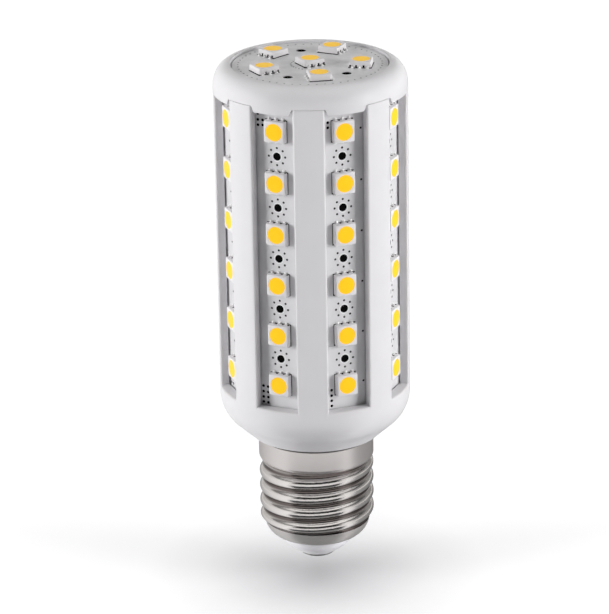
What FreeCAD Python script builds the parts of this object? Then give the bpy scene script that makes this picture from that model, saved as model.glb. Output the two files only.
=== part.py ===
import FreeCAD, Part
import math
import os

# Corn LED bulb with an Edison screw cap, in millimetres.
# The origin is the centre of the contact's bottom face, +Z points up, and the cap is below.
# Azimuth 0 is the front, towards -Y, and grows towards +X. A rib stands at azimuth 0.

# LED boards
COLUMNS = 8
ROWS = 6
LED_PITCH = 11.8
BOARD_RECESS = 3.1
BOARD_THICKNESS = 1.2
BOARD_CLEARANCE = 0.08
WIRE_HOLE_RADIUS = 0.875
WIRE_HOLE_SIDES = 8
BOTTOM_MARGIN = 5.6
TOP_MARGIN = 4.5

# LED packages
LED_SIDE = 5.0
LED_HEIGHT = 1.5
LED_NOTCH = 0.75
RESIN_RADIUS = 2.0
RESIN_THICKNESS = 0.12
RESIN_SIDES = 8

# Housing
BODY_RADIUS = 21.7
RIB_WIDTH = 5.69
GROOVE_DEPTH = 1.25
RIB_BACKING = 1.2
SLOT_DEPTH = 1.4
DECK_THICKNESS = 2.4
DECK_WIDTH = 8.2
BOWL_HEIGHT = 9.9
BOWL_ROUND = 8.4
BOWL_STEPS = 3
BOWL_STEP = 1.95
BOWL_WALL = 1.9
SILL_LAND = 2.0

# Screw cap
CAP_LENGTH = 30.6
THREAD_ROOT_RADIUS = 12.1
THREAD_DEPTH = 1.0
THREAD_PITCH = 3.629
THREAD_FLANK = 0.85
THREAD_DROP = 2.54
THREAD_STEPS = 20
THREAD_SEAT = 0.2
SKIRT_STEP = 1.05
SKIRT_HEIGHT = 6.6
SHELL_WALL = 0.5
SHELL_MOUTH_RADIUS = 7.4
TAPER_BOTTOM = 4.9
TAPER_HEIGHT = 3.9
TAPER_BULGE = 0.32
FIT = 0.05

# Insulator and contact
CONTACT_RADIUS = 3.9
CONTACT_THICKNESS = 0.7
CONTACT_RIM = 0.3
INSULATOR_TIP_RADIUS = 4.7
INSULATOR_TOP_RADIUS = 8.8
WIRE_RADIUS = 0.6
WIRE_ROOM = 0.2

# Neck of the housing, inside the cap; the gap under it lets the neutral wire out to the shell
NECK_WALL = 1.9
NECK_GAP = 1.8
GUIDE_DEPTH = 0.9
GUIDE_FLOOR = 1.6

# Closing ring
RING_OVERLAP = 1.35
RING_CROWN_HEIGHT = 4.7
RING_ROUND_WIDTH = 3.8
RING_STEPS = 3
RING_WIDTH = 4.1
RING_SHELF_WIDTH = 1.7
RING_LIP = 0.5
NOTCH_CHAMFER = 0.6

# Top board
TOP_BOARD_THICKNESS = 1.6
TOP_BOARD_GAP = 0.3
TOP_LEDS = 5
TOP_LED_SHARE = 0.659
TOP_LED_START = 11.4
TOP_HOLE_SHARE = 0.642
TOP_HOLE_RADIUS = 1.1
TOP_HOLE_GAPS = (0, 2, 4)

# Driver
DRIVER_THICKNESS = 1.6
DRIVER_CLEARANCE = 0.1
DRIVER_LENGTH = 44.0
FILM_CAPACITOR = (13.0, 6.0, 10.0)
SMOOTHING_RADIUS = 4.0
SMOOTHING_LENGTH = 11.0
RECTIFIER = (6.4, 2.6, 8.2)
RESISTOR_RADIUS = 1.6
RESISTOR_LENGTH = 8.0
RESISTOR_LEAD = 0.6
RESISTOR_LEAD_REACH = 1.6
RESISTOR_LIFT = 0.4
LED_WIRE_SPREAD = 5.0
WIRE_OVERLAP = 4.5
NEUTRAL_WIRE_SPREAD = 5.0
WIRE_SIDES = 8

# Places of the driver's parts: one above its board's lower edge, the others below the upper edge
INRUSH_RESISTOR_RISE = 8.0
BLEEDER_RESISTOR_DROP = 20.2
RECTIFIER_DROP = 20.2
FILM_CAPACITOR_DROP = 12.2
SMOOTHING_DROP = 7.2

# Levels and radii that follow from the sizes above
SECTOR = 360.0 / COLUMNS
HALF_SECTOR = math.radians(SECTOR / 2)
BOARD_FACE = BODY_RADIUS - BOARD_RECESS
BOARD_BACK = BOARD_FACE - BOARD_THICKNESS
WINDOW_HALF_WIDTH = BOARD_FACE * math.tan(HALF_SECTOR) - RIB_WIDTH / 2
BOARD_HALF_WIDTH = WINDOW_HALF_WIDTH + GROOVE_DEPTH
DECK_OPENING_RADIUS = BODY_RADIUS - DECK_WIDTH
SKIRT_RADIUS = THREAD_ROOT_RADIUS + SKIRT_STEP
BOWL_EDGE_RADIUS = SKIRT_RADIUS + BOWL_STEP
BOWL_TOP = CAP_LENGTH + BOWL_HEIGHT
SILL = BOWL_TOP + SILL_LAND
SLOT_FLOOR = SILL - SLOT_DEPTH
FIRST_LED = SILL + BOTTOM_MARGIN
RING_BOTTOM = FIRST_LED + (ROWS - 1) * LED_PITCH + TOP_MARGIN
RIB_TOP = RING_BOTTOM + RING_OVERLAP
RING_TOP = RIB_TOP + RING_CROWN_HEIGHT
TOP_BOARD_FACE = RING_TOP - RING_LIP
TOP_BOARD_BACK = TOP_BOARD_FACE - TOP_BOARD_THICKNESS
RING_OPENING_RADIUS = BODY_RADIUS - RING_WIDTH
TOP_BOARD_RADIUS = RING_OPENING_RADIUS - TOP_BOARD_GAP
TOP_LED_CIRCLE = TOP_BOARD_RADIUS * TOP_LED_SHARE
TOP_HOLE_CIRCLE = TOP_BOARD_RADIUS * TOP_HOLE_SHARE
THREAD_CORE = THREAD_ROOT_RADIUS - THREAD_SEAT
THREAD_LAND = THREAD_PITCH / 2 - THREAD_FLANK
SHELL_BORE = THREAD_ROOT_RADIUS - SHELL_WALL
SKIRT_BORE = SKIRT_RADIUS - SHELL_WALL
SKIRT_BOTTOM = CAP_LENGTH - SKIRT_HEIGHT
TAPER_TOP = TAPER_BOTTOM + TAPER_HEIGHT
TAPER_SLOPE = TAPER_HEIGHT / (THREAD_ROOT_RADIUS - SHELL_MOUTH_RADIUS)
INSULATOR_TOP = TAPER_BOTTOM + SHELL_WALL + TAPER_SLOPE * (INSULATOR_TOP_RADIUS - SHELL_MOUTH_RADIUS)
NECK_RADIUS = SHELL_BORE - FIT
NECK_BORE = NECK_RADIUS - NECK_WALL
NECK_BOTTOM = TAPER_TOP + NECK_GAP
DRIVER_HALF_WIDTH = NECK_BORE + GUIDE_DEPTH - DRIVER_CLEARANCE
DRIVER_BOTTOM = NECK_BOTTOM + GUIDE_FLOOR
DRIVER_TOP = DRIVER_BOTTOM + DRIVER_LENGTH
DRIVER_FACE = DRIVER_THICKNESS / 2

UP = FreeCAD.Vector(0, 0, 1)
CENTRE = FreeCAD.Vector(0, 0, 0)


def vec(x, y, z):
    return FreeCAD.Vector(x, y, z)


def turned(shape, degrees):
    """A copy of a shape, turned about the bulb's axis."""
    copy = shape.copy()
    copy.rotate(CENTRE, UP, degrees)
    return copy


def revolved(points):
    """A solid of revolution from a closed outline of (radius, z) points."""
    corners = [vec(r, 0, z) for r, z in points]
    return Part.Face(Part.makePolygon(corners + corners[:1])).revolve(CENTRE, UP, 360)


def curve(centre, width, height, start, end, steps):
    """Points along part of an ellipse in (radius, z), in equal steps between two angles."""
    points = []
    for i in range(steps + 1):
        angle = start + (end - start) * i / steps
        points.append((centre[0] + width * math.cos(angle), centre[1] + height * math.sin(angle)))
    return points


def prism(points, bottom, height):
    """An upright prism over a closed outline of (x, y) points."""
    corners = [vec(x, y, bottom) for x, y in points]
    return Part.Face(Part.makePolygon(corners + corners[:1])).extrude(vec(0, 0, height))


def round_prism(radius, sides, bottom, height):
    """A cylinder with few faces, for the small round shapes that repeat many times."""
    turn = 2 * math.pi / sides
    points = [(radius * math.cos(i * turn), radius * math.sin(i * turn)) for i in range(sides)]
    return prism(points, bottom, height)


def stood_up(shape, level):
    """A shape made flat about the origin, stood upright on the face of the front board."""
    shape.rotate(CENTRE, vec(1, 0, 0), 90)
    shape.translate(vec(0, -BOARD_FACE, level))
    return shape


def rib_point(apothem, sideways):
    """The (x, y) place on the board right of the front rib, by its distance out and sideways."""
    x = apothem * math.sin(HALF_SECTOR) + sideways * math.cos(HALF_SECTOR)
    y = -apothem * math.cos(HALF_SECTOR) + sideways * math.sin(HALF_SECTOR)
    return x, y


def rib_outline():
    """Half of the rib's section: its outer and its inner corner, right of the middle."""
    outer = math.sqrt(BODY_RADIUS ** 2 - WINDOW_HALF_WIDTH ** 2)
    inner = BOARD_BACK - BOARD_CLEARANCE - RIB_BACKING
    return rib_point(outer, -WINDOW_HALF_WIDTH), rib_point(inner, -WINDOW_HALF_WIDTH)


def front_rib(bottom, top):
    """The rib at azimuth 0, a wedge with its outer face on the body's cylinder."""
    (outer_x, outer_y), (inner_x, inner_y) = rib_outline()
    right = vec(outer_x, outer_y, bottom)
    left = vec(-outer_x, outer_y, bottom)
    inner_left = vec(-inner_x, inner_y, bottom)
    inner_right = vec(inner_x, inner_y, bottom)
    edges = [Part.Arc(left, vec(0, -BODY_RADIUS, bottom), right).toShape()]
    for start, end in ((right, inner_right), (inner_right, inner_left), (inner_left, left)):
        edges.append(Part.makeLine(start, end))
    return Part.Face(Part.Wire(edges)).extrude(vec(0, 0, top - bottom))


def board_box(bottom, top, clearance=0.0):
    """The space of one LED board at azimuth 0, with room on every side of it."""
    width = 2 * (BOARD_HALF_WIDTH + clearance)
    depth = BOARD_THICKNESS + 2 * clearance
    corner = vec(-width / 2, -BOARD_FACE - clearance, bottom)
    return Part.makeBox(width, depth, top - bottom, corner)


def bowl_lines():
    """The bowl's outer line, and its inner line one wall further in, both from top to bottom."""
    centre = (BODY_RADIUS - BOWL_ROUND, BOWL_TOP)
    gap_r = BOWL_EDGE_RADIUS - centre[0]
    gap_z = CAP_LENGTH - BOWL_TOP
    touch = math.atan2(gap_z, gap_r) + math.acos(BOWL_ROUND / math.hypot(gap_r, gap_z))
    outer = curve(centre, BOWL_ROUND, BOWL_ROUND, 0, touch, BOWL_STEPS)
    inside = BOWL_ROUND - BOWL_WALL
    inner = curve(centre, inside, inside, 0, touch, 1)
    slope = (outer[-1][0] - BOWL_EDGE_RADIUS) / (outer[-1][1] - CAP_LENGTH)
    floor = CAP_LENGTH + BOWL_WALL
    inner[-1] = (inner[-1][0] - slope * (inner[-1][1] - floor), floor)
    return outer, inner


def housing():
    """One moulding: neck, bowl, deck and the ribs, with the grooves that hold the boards."""
    outer, inner = bowl_lines()
    deck_bottom = SILL - DECK_THICKNESS
    bowl_floor = inner[-1][1]
    points = [(NECK_BORE, NECK_BOTTOM), (NECK_RADIUS, NECK_BOTTOM), (NECK_RADIUS, CAP_LENGTH)]
    points += [(BOWL_EDGE_RADIUS, CAP_LENGTH)] + outer[::-1]
    points += [(BODY_RADIUS, SILL), (DECK_OPENING_RADIUS, SILL), (DECK_OPENING_RADIUS, deck_bottom)]
    points += [(inner[0][0], deck_bottom)] + inner[1:] + [(NECK_BORE, bowl_floor)]
    body = revolved(points)
    ribs = [turned(front_rib(deck_bottom, RIB_TOP), SECTOR * i) for i in range(COLUMNS)]
    body = body.multiFuse(ribs)
    cuts = []
    for i in range(COLUMNS):
        slot = board_box(SLOT_FLOOR, RIB_TOP + BOARD_CLEARANCE, BOARD_CLEARANCE)
        cuts.append(turned(slot, SECTOR * (i + 0.5)))
    guide_width = 2 * (NECK_BORE + GUIDE_DEPTH)
    guide_depth = DRIVER_THICKNESS + 2 * DRIVER_CLEARANCE
    guide_corner = vec(-guide_width / 2, -guide_depth / 2, DRIVER_BOTTOM)
    cuts.append(Part.makeBox(guide_width, guide_depth, bowl_floor - DRIVER_BOTTOM, guide_corner))
    return body.cut(Part.makeCompound(cuts)).removeSplitter()


def ring_notch():
    """What the ring leaves free for one rib's top, with the chamfered mouth of the joint."""
    half = rib_outline()[0][0] + BOARD_CLEARANCE
    mouth = RING_BOTTOM + NOTCH_CHAMFER
    points = [(-half, RIB_TOP), (half, RIB_TOP), (half, mouth), (half + NOTCH_CHAMFER, RING_BOTTOM)]
    points += [(-half - NOTCH_CHAMFER, RING_BOTTOM), (-half, mouth)]
    corners = [vec(x, -2 * BODY_RADIUS, z) for x, z in points]
    return Part.Face(Part.makePolygon(corners + corners[:1])).extrude(vec(0, 2 * BODY_RADIUS, 0))


def top_ring():
    """The ring that closes the ribs: a rounded rim, a shelf for the top board, eight notches."""
    shelf_radius = RING_OPENING_RADIUS - RING_SHELF_WIDTH
    crown_centre = (BODY_RADIUS - RING_ROUND_WIDTH, RIB_TOP)
    quarter = math.radians(90)
    crown = curve(crown_centre, RING_ROUND_WIDTH, RING_CROWN_HEIGHT, 0, quarter, RING_STEPS)
    points = [(shelf_radius, RIB_TOP)] + crown
    points += [(RING_OPENING_RADIUS, RING_TOP), (RING_OPENING_RADIUS, TOP_BOARD_BACK)]
    points += [(shelf_radius, TOP_BOARD_BACK)]
    rim = revolved(points)
    skirt = Part.makeCylinder(BODY_RADIUS, RING_OVERLAP, vec(0, 0, RING_BOTTOM))
    inside = (BOARD_FACE + BOARD_CLEARANCE) / math.cos(HALF_SECTOR)
    corners = []
    for i in range(COLUMNS):
        angle = math.radians(SECTOR * i)
        corners.append((inside * math.sin(angle), -inside * math.cos(angle)))
    skirt = skirt.cut(prism(corners, RING_BOTTOM, RING_OVERLAP))
    notches = [turned(ring_notch(), SECTOR * i) for i in range(COLUMNS)]
    return rim.fuse(skirt.cut(Part.makeCompound(notches))).removeSplitter()


def led_level(row):
    return FIRST_LED + row * LED_PITCH


def led_board():
    """One upright board at azimuth 0, with a wire hole between each pair of packages."""
    board = board_box(SLOT_FLOOR, RIB_TOP - BOARD_CLEARANCE)
    holes = []
    for row in range(ROWS - 1):
        hole = round_prism(WIRE_HOLE_RADIUS, WIRE_HOLE_SIDES, -2 * BOARD_THICKNESS, 3 * BOARD_THICKNESS)
        holes.append(stood_up(hole, led_level(row) + LED_PITCH / 2))
    return board.cut(Part.makeCompound(holes))


def package_outline():
    """A square with one corner cut off, the mark of the package's first lead."""
    half = LED_SIDE / 2
    cut = half - LED_NOTCH
    return [(half, -half), (half, half), (-half, half), (-half, -cut), (-cut, -half)]


def upright_led(row):
    """The package and its yellow filling at azimuth 0, on the board's front face."""
    body = prism(package_outline(), 0, LED_HEIGHT)
    resin = round_prism(RESIN_RADIUS, RESIN_SIDES, LED_HEIGHT, RESIN_THICKNESS)
    return stood_up(body, led_level(row)), stood_up(resin, led_level(row))


def led_column():
    """All packages and fillings of the board at azimuth 0."""
    pairs = [upright_led(row) for row in range(ROWS)]
    return Part.makeCompound([pair[0] for pair in pairs]), Part.makeCompound([pair[1] for pair in pairs])


def top_board():
    """The round board on the ring's shelf, with three wire holes between its packages."""
    board = Part.makeCylinder(TOP_BOARD_RADIUS, TOP_BOARD_THICKNESS, vec(0, 0, TOP_BOARD_BACK))
    step = 360.0 / TOP_LEDS
    holes = []
    for gap in TOP_HOLE_GAPS:
        angle = TOP_LED_START + (gap + 0.5) * step
        hole = round_prism(TOP_HOLE_RADIUS, WIRE_HOLE_SIDES, TOP_BOARD_BACK, TOP_BOARD_THICKNESS)
        hole.translate(vec(0, -TOP_HOLE_CIRCLE, 0))
        holes.append(turned(hole, angle))
    return board.cut(Part.makeCompound(holes))


def top_leds():
    """Packages and fillings on the round board: a ring of them and one in the middle."""
    body = prism(package_outline(), TOP_BOARD_FACE, LED_HEIGHT)
    resin = round_prism(RESIN_RADIUS, RESIN_SIDES, TOP_BOARD_FACE + LED_HEIGHT, RESIN_THICKNESS)
    step = 360.0 / TOP_LEDS
    last_angle = TOP_LED_START + (TOP_LEDS - 1) * step
    bodies = [turned(body, last_angle)]
    resins = [turned(resin, last_angle)]
    for i in range(TOP_LEDS):
        for shapes, shape in ((bodies, body), (resins, resin)):
            moved = shape.copy()
            moved.translate(vec(0, -TOP_LED_CIRCLE, 0))
            shapes.append(turned(moved, TOP_LED_START + i * step))
    return Part.makeCompound(bodies), Part.makeCompound(resins)


def thread_section():
    """The thread's closed (radius, z) section at azimuth 0, a turn longer than the cap needs."""
    crest = THREAD_ROOT_RADIUS + THREAD_DEPTH
    root = THREAD_ROOT_RADIUS / math.cos(math.pi / THREAD_STEPS) + FIT
    inside = THREAD_CORE - THREAD_SEAT / 2
    top = SKIRT_BOTTOM - THREAD_DROP + THREAD_PITCH
    turns = math.ceil((top - TAPER_TOP) / THREAD_PITCH + 0.5)
    bottom = top - turns * THREAD_PITCH
    points = [(inside, bottom - THREAD_PITCH / 2), (root, bottom - THREAD_PITCH / 2)]
    for i in range(turns + 1):
        level = bottom + i * THREAD_PITCH
        points += [(root, level - THREAD_LAND / 2 - THREAD_FLANK), (crest, level - THREAD_LAND / 2)]
        points += [(crest, level + THREAD_LAND / 2), (root, level + THREAD_LAND / 2 + THREAD_FLANK)]
    return points + [(root, top + THREAD_PITCH / 2), (inside, top + THREAD_PITCH / 2)]


def rolled_thread():
    """The right-hand thread: one step of it screwed on round the cap, then cut to its length."""
    turn = 360.0 / THREAD_STEPS
    rise = THREAD_PITCH / THREAD_STEPS
    corners = [vec(0, -r, z) for r, z in thread_section()]
    start = Part.makePolygon(corners + corners[:1])
    end = turned(start, turn)
    end.translate(vec(0, 0, rise))
    step = Part.makeLoft([start, end], True, True)
    steps = []
    for i in range(THREAD_STEPS):
        steps.append(turned(step, turn * i))
        steps[i].translate(vec(0, 0, rise * i))
    points = [(0, TAPER_TOP), (THREAD_ROOT_RADIUS, TAPER_TOP), (SKIRT_RADIUS, TAPER_TOP + SKIRT_STEP)]
    points += [(SKIRT_RADIUS, SKIRT_BOTTOM), (0, SKIRT_BOTTOM)]
    return steps[0].multiFuse(steps[1:]).common(revolved(points))


def screw_shell():
    """The pressed metal cap: plain skirt, rolled thread and the rounded taper below it."""
    shoulder = SKIRT_BOTTOM + SHELL_WALL
    bore_bottom = TAPER_BOTTOM + SHELL_WALL + TAPER_SLOPE * (SHELL_BORE - SHELL_MOUTH_RADIUS)
    middle_r = (SHELL_MOUTH_RADIUS + THREAD_ROOT_RADIUS) / 2 + TAPER_BULGE
    middle_z = (TAPER_BOTTOM + TAPER_TOP) / 2 - TAPER_BULGE
    points = [(SHELL_MOUTH_RADIUS, TAPER_BOTTOM), (middle_r, middle_z), (THREAD_ROOT_RADIUS, TAPER_TOP)]
    points += [(THREAD_CORE, TAPER_TOP), (THREAD_CORE, SKIRT_BOTTOM), (SKIRT_RADIUS, SKIRT_BOTTOM)]
    points += [(SKIRT_RADIUS, CAP_LENGTH), (SKIRT_BORE, CAP_LENGTH), (SKIRT_BORE, shoulder)]
    points += [(SHELL_BORE, shoulder)]
    points += [(SHELL_BORE, bore_bottom), (SHELL_MOUTH_RADIUS, TAPER_BOTTOM + SHELL_WALL)]
    return revolved(points).fuse(rolled_thread())


def insulator():
    """The moulded plug in the cap's mouth, with a bore for the wire and a seat for the contact."""
    bore = WIRE_RADIUS + WIRE_ROOM
    points = [(bore, CONTACT_THICKNESS), (INSULATOR_TIP_RADIUS, CONTACT_THICKNESS)]
    points += [(SHELL_MOUTH_RADIUS, TAPER_BOTTOM), (SHELL_MOUTH_RADIUS, TAPER_BOTTOM + SHELL_WALL)]
    points += [(INSULATOR_TOP_RADIUS, INSULATOR_TOP), (bore, INSULATOR_TOP)]
    return revolved(points)


def centre_contact():
    """The contact disc under the insulator, its lower edge rounded off."""
    inner = CONTACT_RADIUS - CONTACT_RIM
    points = [(0, 0), (inner, 0), (CONTACT_RADIUS, CONTACT_RIM)]
    points += [(CONTACT_RADIUS, CONTACT_THICKNESS), (0, CONTACT_THICKNESS)]
    return revolved(points)


def driver_board():
    """The supply's upright board, held by its edges in the neck's two guides."""
    corner = vec(-DRIVER_HALF_WIDTH, -DRIVER_FACE, DRIVER_BOTTOM)
    return Part.makeBox(2 * DRIVER_HALF_WIDTH, DRIVER_THICKNESS, DRIVER_LENGTH, corner)


def boxed_part(size, level, side):
    """A block on the driver board's front (-1) or back (+1) face, its centre at that level."""
    width, depth, height = size
    y = DRIVER_FACE if side > 0 else -DRIVER_FACE - depth
    return Part.makeBox(width, depth, height, vec(-width / 2, y, level - height / 2))


def smoothing_capacitor():
    """An electrolytic can standing off the driver board's front face."""
    start = vec(0, -DRIVER_FACE, DRIVER_TOP - SMOOTHING_DROP)
    return Part.makeCylinder(SMOOTHING_RADIUS, SMOOTHING_LENGTH, start, vec(0, -1, 0))


def resistor(level, side):
    """A cylindrical resistor with its two leads bent down to the driver board."""
    height = DRIVER_FACE + RESISTOR_LIFT + RESISTOR_RADIUS
    half = RESISTOR_LENGTH / 2
    body = round_prism(RESISTOR_RADIUS, WIRE_SIDES, -half, RESISTOR_LENGTH)
    body.rotate(CENTRE, vec(0, 1, 0), 90)
    body.translate(vec(0, height, 0))
    reach = half + RESISTOR_LEAD_REACH
    inner = reach - RESISTOR_LEAD
    low = height - RESISTOR_LEAD / 2
    high = height + RESISTOR_LEAD / 2
    lead = [(half, low), (inner, low), (inner, DRIVER_FACE), (reach, DRIVER_FACE), (reach, high), (half, high)]
    leads = []
    for sign in (1, -1):
        points = [(sign * x, y) for x, y in lead]
        leads.append(prism(points, -RESISTOR_LEAD / 2, RESISTOR_LEAD))
    shape = body.multiFuse(leads)
    if side < 0:
        shape.rotate(CENTRE, UP, 180)
    shape.translate(vec(0, 0, level))
    return shape


def wire(points):
    """An insulated wire along straight runs, the first one upright, mitred where it turns."""
    turn = 2 * math.pi / WIRE_SIDES
    corners = []
    for i in range(WIRE_SIDES):
        corners.append(points[0] + vec(WIRE_RADIUS * math.cos(i * turn), WIRE_RADIUS * math.sin(i * turn), 0))
    section = Part.makePolygon(corners + corners[:1])
    return Part.makePolygon(points).makePipeShell([section], True, False, 1)


def live_wire():
    """From the driver board's lower edge, through the insulator's bore, to the contact."""
    return wire([vec(0, 0, DRIVER_BOTTOM), vec(0, 0, CONTACT_THICKNESS)])


def neutral_wire():
    """Down the driver board's face, out under the neck and on to the shell's inner wall."""
    side = DRIVER_FACE + WIRE_RADIUS
    level = TAPER_TOP + NECK_GAP / 2
    reach = math.sqrt(SHELL_BORE ** 2 - (side + WIRE_RADIUS) ** 2) - FIT
    top = vec(-NEUTRAL_WIRE_SPREAD, -side, DRIVER_BOTTOM + WIRE_OVERLAP)
    return wire([top, vec(-NEUTRAL_WIRE_SPREAD, -side, level), vec(-reach, -side, level)])


def led_wire(side):
    """Up from the driver board's face to the back of the top board, on one side."""
    x = side * LED_WIRE_SPREAD
    y = DRIVER_FACE + WIRE_RADIUS
    return wire([vec(x, y, DRIVER_TOP - WIRE_OVERLAP), vec(x, y, TOP_BOARD_BACK)])


def write(name, shape):
    shape.exportStep(os.path.join("parts", name + ".step"))


def main():
    os.makedirs("parts", exist_ok=True)
    write("housing", housing())
    write("top_ring", top_ring())
    board = led_board()
    packages, resins = led_column()
    for i in range(COLUMNS):
        angle = SECTOR * (i + 0.5)
        write("led_board_%d" % (i + 1), turned(board, angle))
        write("led_packages_%d" % (i + 1), turned(packages, angle))
        write("phosphor_%d" % (i + 1), turned(resins, angle))
    write("top_board", top_board())
    top_packages, top_resins = top_leds()
    write("top_led_packages", top_packages)
    write("top_phosphor", top_resins)
    write("screw_shell", screw_shell())
    write("insulator", insulator())
    write("centre_contact", centre_contact())
    write("driver_board", driver_board())
    write("film_capacitor", boxed_part(FILM_CAPACITOR, DRIVER_TOP - FILM_CAPACITOR_DROP, 1))
    write("smoothing_capacitor", smoothing_capacitor())
    write("bridge_rectifier", boxed_part(RECTIFIER, DRIVER_TOP - RECTIFIER_DROP, -1))
    write("inrush_resistor", resistor(DRIVER_BOTTOM + INRUSH_RESISTOR_RISE, -1))
    write("bleeder_resistor", resistor(DRIVER_TOP - BLEEDER_RESISTOR_DROP, 1))
    write("live_wire", live_wire())
    write("neutral_wire", neutral_wire())
    write("led_wire_positive", led_wire(1))
    write("led_wire_negative", led_wire(-1))


main()
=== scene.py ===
"""Corn LED bulb with a screw cap: its looks, lights and camera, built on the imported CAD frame.

Sizes in the classes are millimetres. Azimuth 0 is the front, towards -Y, and grows towards +X.
"""
import logging
import math
from dataclasses import dataclass, field
from enum import Enum, IntEnum

import bmesh
import bpy
from mathutils import Matrix, Vector


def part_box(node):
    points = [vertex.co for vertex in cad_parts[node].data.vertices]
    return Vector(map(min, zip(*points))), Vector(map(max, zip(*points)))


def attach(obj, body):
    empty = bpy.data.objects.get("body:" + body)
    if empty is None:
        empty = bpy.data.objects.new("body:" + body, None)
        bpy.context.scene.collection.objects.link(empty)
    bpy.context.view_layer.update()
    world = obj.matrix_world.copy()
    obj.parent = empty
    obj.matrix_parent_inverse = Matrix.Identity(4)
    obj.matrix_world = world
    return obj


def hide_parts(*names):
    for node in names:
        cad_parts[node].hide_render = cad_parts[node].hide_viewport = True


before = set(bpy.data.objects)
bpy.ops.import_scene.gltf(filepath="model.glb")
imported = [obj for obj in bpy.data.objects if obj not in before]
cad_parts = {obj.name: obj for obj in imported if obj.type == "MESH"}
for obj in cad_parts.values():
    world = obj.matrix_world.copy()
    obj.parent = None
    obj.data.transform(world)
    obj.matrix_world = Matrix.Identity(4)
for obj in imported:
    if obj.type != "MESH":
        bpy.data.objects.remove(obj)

Point = tuple[float, float]
Colour = tuple[float, float, float]
Vert = bmesh.types.BMVert
Edge = bmesh.types.BMEdge
Face = bmesh.types.BMFace
Socket = bpy.types.NodeSocket

LOG = logging.getLogger("corn_bulb")
MM = 0.001
BODY = "root"
COLUMNS = 8
SECTOR = 360.0 / COLUMNS
SMOOTH_LIMIT = math.radians(32)
WHITE: Colour = (1.0, 1.0, 1.0)

# Where nearly all values of a noise pattern lie, and how many finer layers it has
NOISE_SPAN: Point = (0.3, 0.7)
NOISE_DETAIL = 3.0

# Millimetres apart: points that are merged, that are the same, that nearly are, and that aren't
MERGED = 1e-4
HAIR = 1e-3
SLACK = 1e-2
CLEAR = 1.0


# Nodes


class Grain(Enum):
    """How a finish's fine variation lies on a piece."""

    EVEN = (1.0, 1.0, 1.0)
    AROUND = (1.0, 1.0, 26.0)


class Tree:
    """The nodes of a material or of the world."""

    def __init__(self, owner: bpy.types.Material | bpy.types.World) -> None:
        """Switches the nodes on.

        Args:
            owner: The material or world.
        """
        owner.use_nodes = True
        self.nodes = owner.node_tree.nodes
        self.links = owner.node_tree.links

    def give(self, socket: Socket, value: object) -> None:
        """Links a socket to another node's output, or sets its value.

        Args:
            socket: The socket.
            value: The output, or the value. A colour's has three numbers.
        """
        if isinstance(value, Socket):
            self.links.new(value, socket)
        elif socket.type == "RGBA":
            socket.default_value = (*value, 1.0)
        else:
            socket.default_value = value

    def add(self, kind: str, inputs: dict[str | int, object] | None = None,
            **options: object) -> bpy.types.Node:
        """Adds a node.

        Args:
            kind: Its type, without ShaderNode in front.
            inputs: What its sockets get.
            options: Its own settings.

        Returns:
            The node.
        """
        node = self.nodes.new("ShaderNode" + kind)
        for name, value in options.items():
            setattr(node, name, value)
        for name, value in (inputs or {}).items():
            self.give(node.inputs[name], value)
        return node

    def reckon(self, operation: str, one: Socket | float, other: Socket | float) -> Socket:
        """What an operation makes of two numbers."""
        return self.add("Math", {0: one, 1: other}, operation=operation).outputs["Value"]

    def length(self, vector: Socket) -> Socket:
        """The length of a vector."""
        return self.add("VectorMath", {0: vector}, operation="LENGTH").outputs["Value"]

    def mix(self, share: Socket, one: Socket | float, other: Socket | float) -> Socket:
        """A value between two others, the first at share 0."""
        return self.add("Mix", {"Factor": share, "A": one, "B": other}).outputs["Result"]

    def ranged(self, value: Socket, source: Point, target: Point = (0.0, 1.0)) -> Socket:
        """Maps a value from one range to another and holds it at their ends.

        Args:
            value: The value.
            source: The range that it comes in.
            target: The range that it goes to.

        Returns:
            The mapped value.
        """
        ends = dict(zip(("From Min", "From Max", "To Min", "To Max"), (*source, *target)))
        return self.add("MapRange", {"Value": value, **ends}).outputs["Result"]

    def ramp(self, value: Socket, stops: dict[float, Colour], way: str = "LINEAR") -> Socket:
        """A colour that changes along a value.

        Args:
            value: The value, from 0 to 1.
            stops: Colours by the value at which they stand.
            way: How it changes between them.

        Returns:
            The colour.
        """
        node = self.add("ValToRGB", {"Fac": value})
        node.color_ramp.interpolation = way
        elements = node.color_ramp.elements
        while len(elements) < len(stops):
            elements.new(0.5)
        for element, place in zip(elements, sorted(stops)):
            element.position = place
            element.color = (*stops[place], 1.0)
        return node.outputs["Color"]

    def curve(self, value: Socket, stops: list[Point]) -> Socket:
        """A level that changes along a value.

        Args:
            value: The value, from 0 to 1.
            stops: Places along the value and the levels there.

        Returns:
            The level.
        """
        node = self.add("FloatCurve", {"Value": value})
        line = node.mapping.curves[0]
        top = max(level for _, level in stops)
        while len(line.points) < len(stops):
            line.points.new(0.5, 0.5)
        for point, (place, level) in zip(line.points, stops):
            point.location = (place, level / top)
            point.handle_type = "VECTOR"
        node.mapping.update()
        return self.reckon("MULTIPLY", node.outputs["Value"], top)

    def by_azimuth(self, place: Socket, levels: tuple[Point, ...]) -> Socket:
        """A level that depends on the azimuth round the bulb.

        Args:
            place: A direction or a place.
            levels: The levels by azimuth, from -180 to 180 degrees.

        Returns:
            The level.
        """
        split = self.add("SeparateXYZ", {"Vector": place}).outputs
        angle = self.reckon("ARCTAN2", split["X"], self.reckon("MULTIPLY", split["Y"], -1.0))
        share = self.ranged(angle, (-math.pi, math.pi))
        return self.curve(share, [((azimuth + 180) / 360, level) for azimuth, level in levels])


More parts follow.
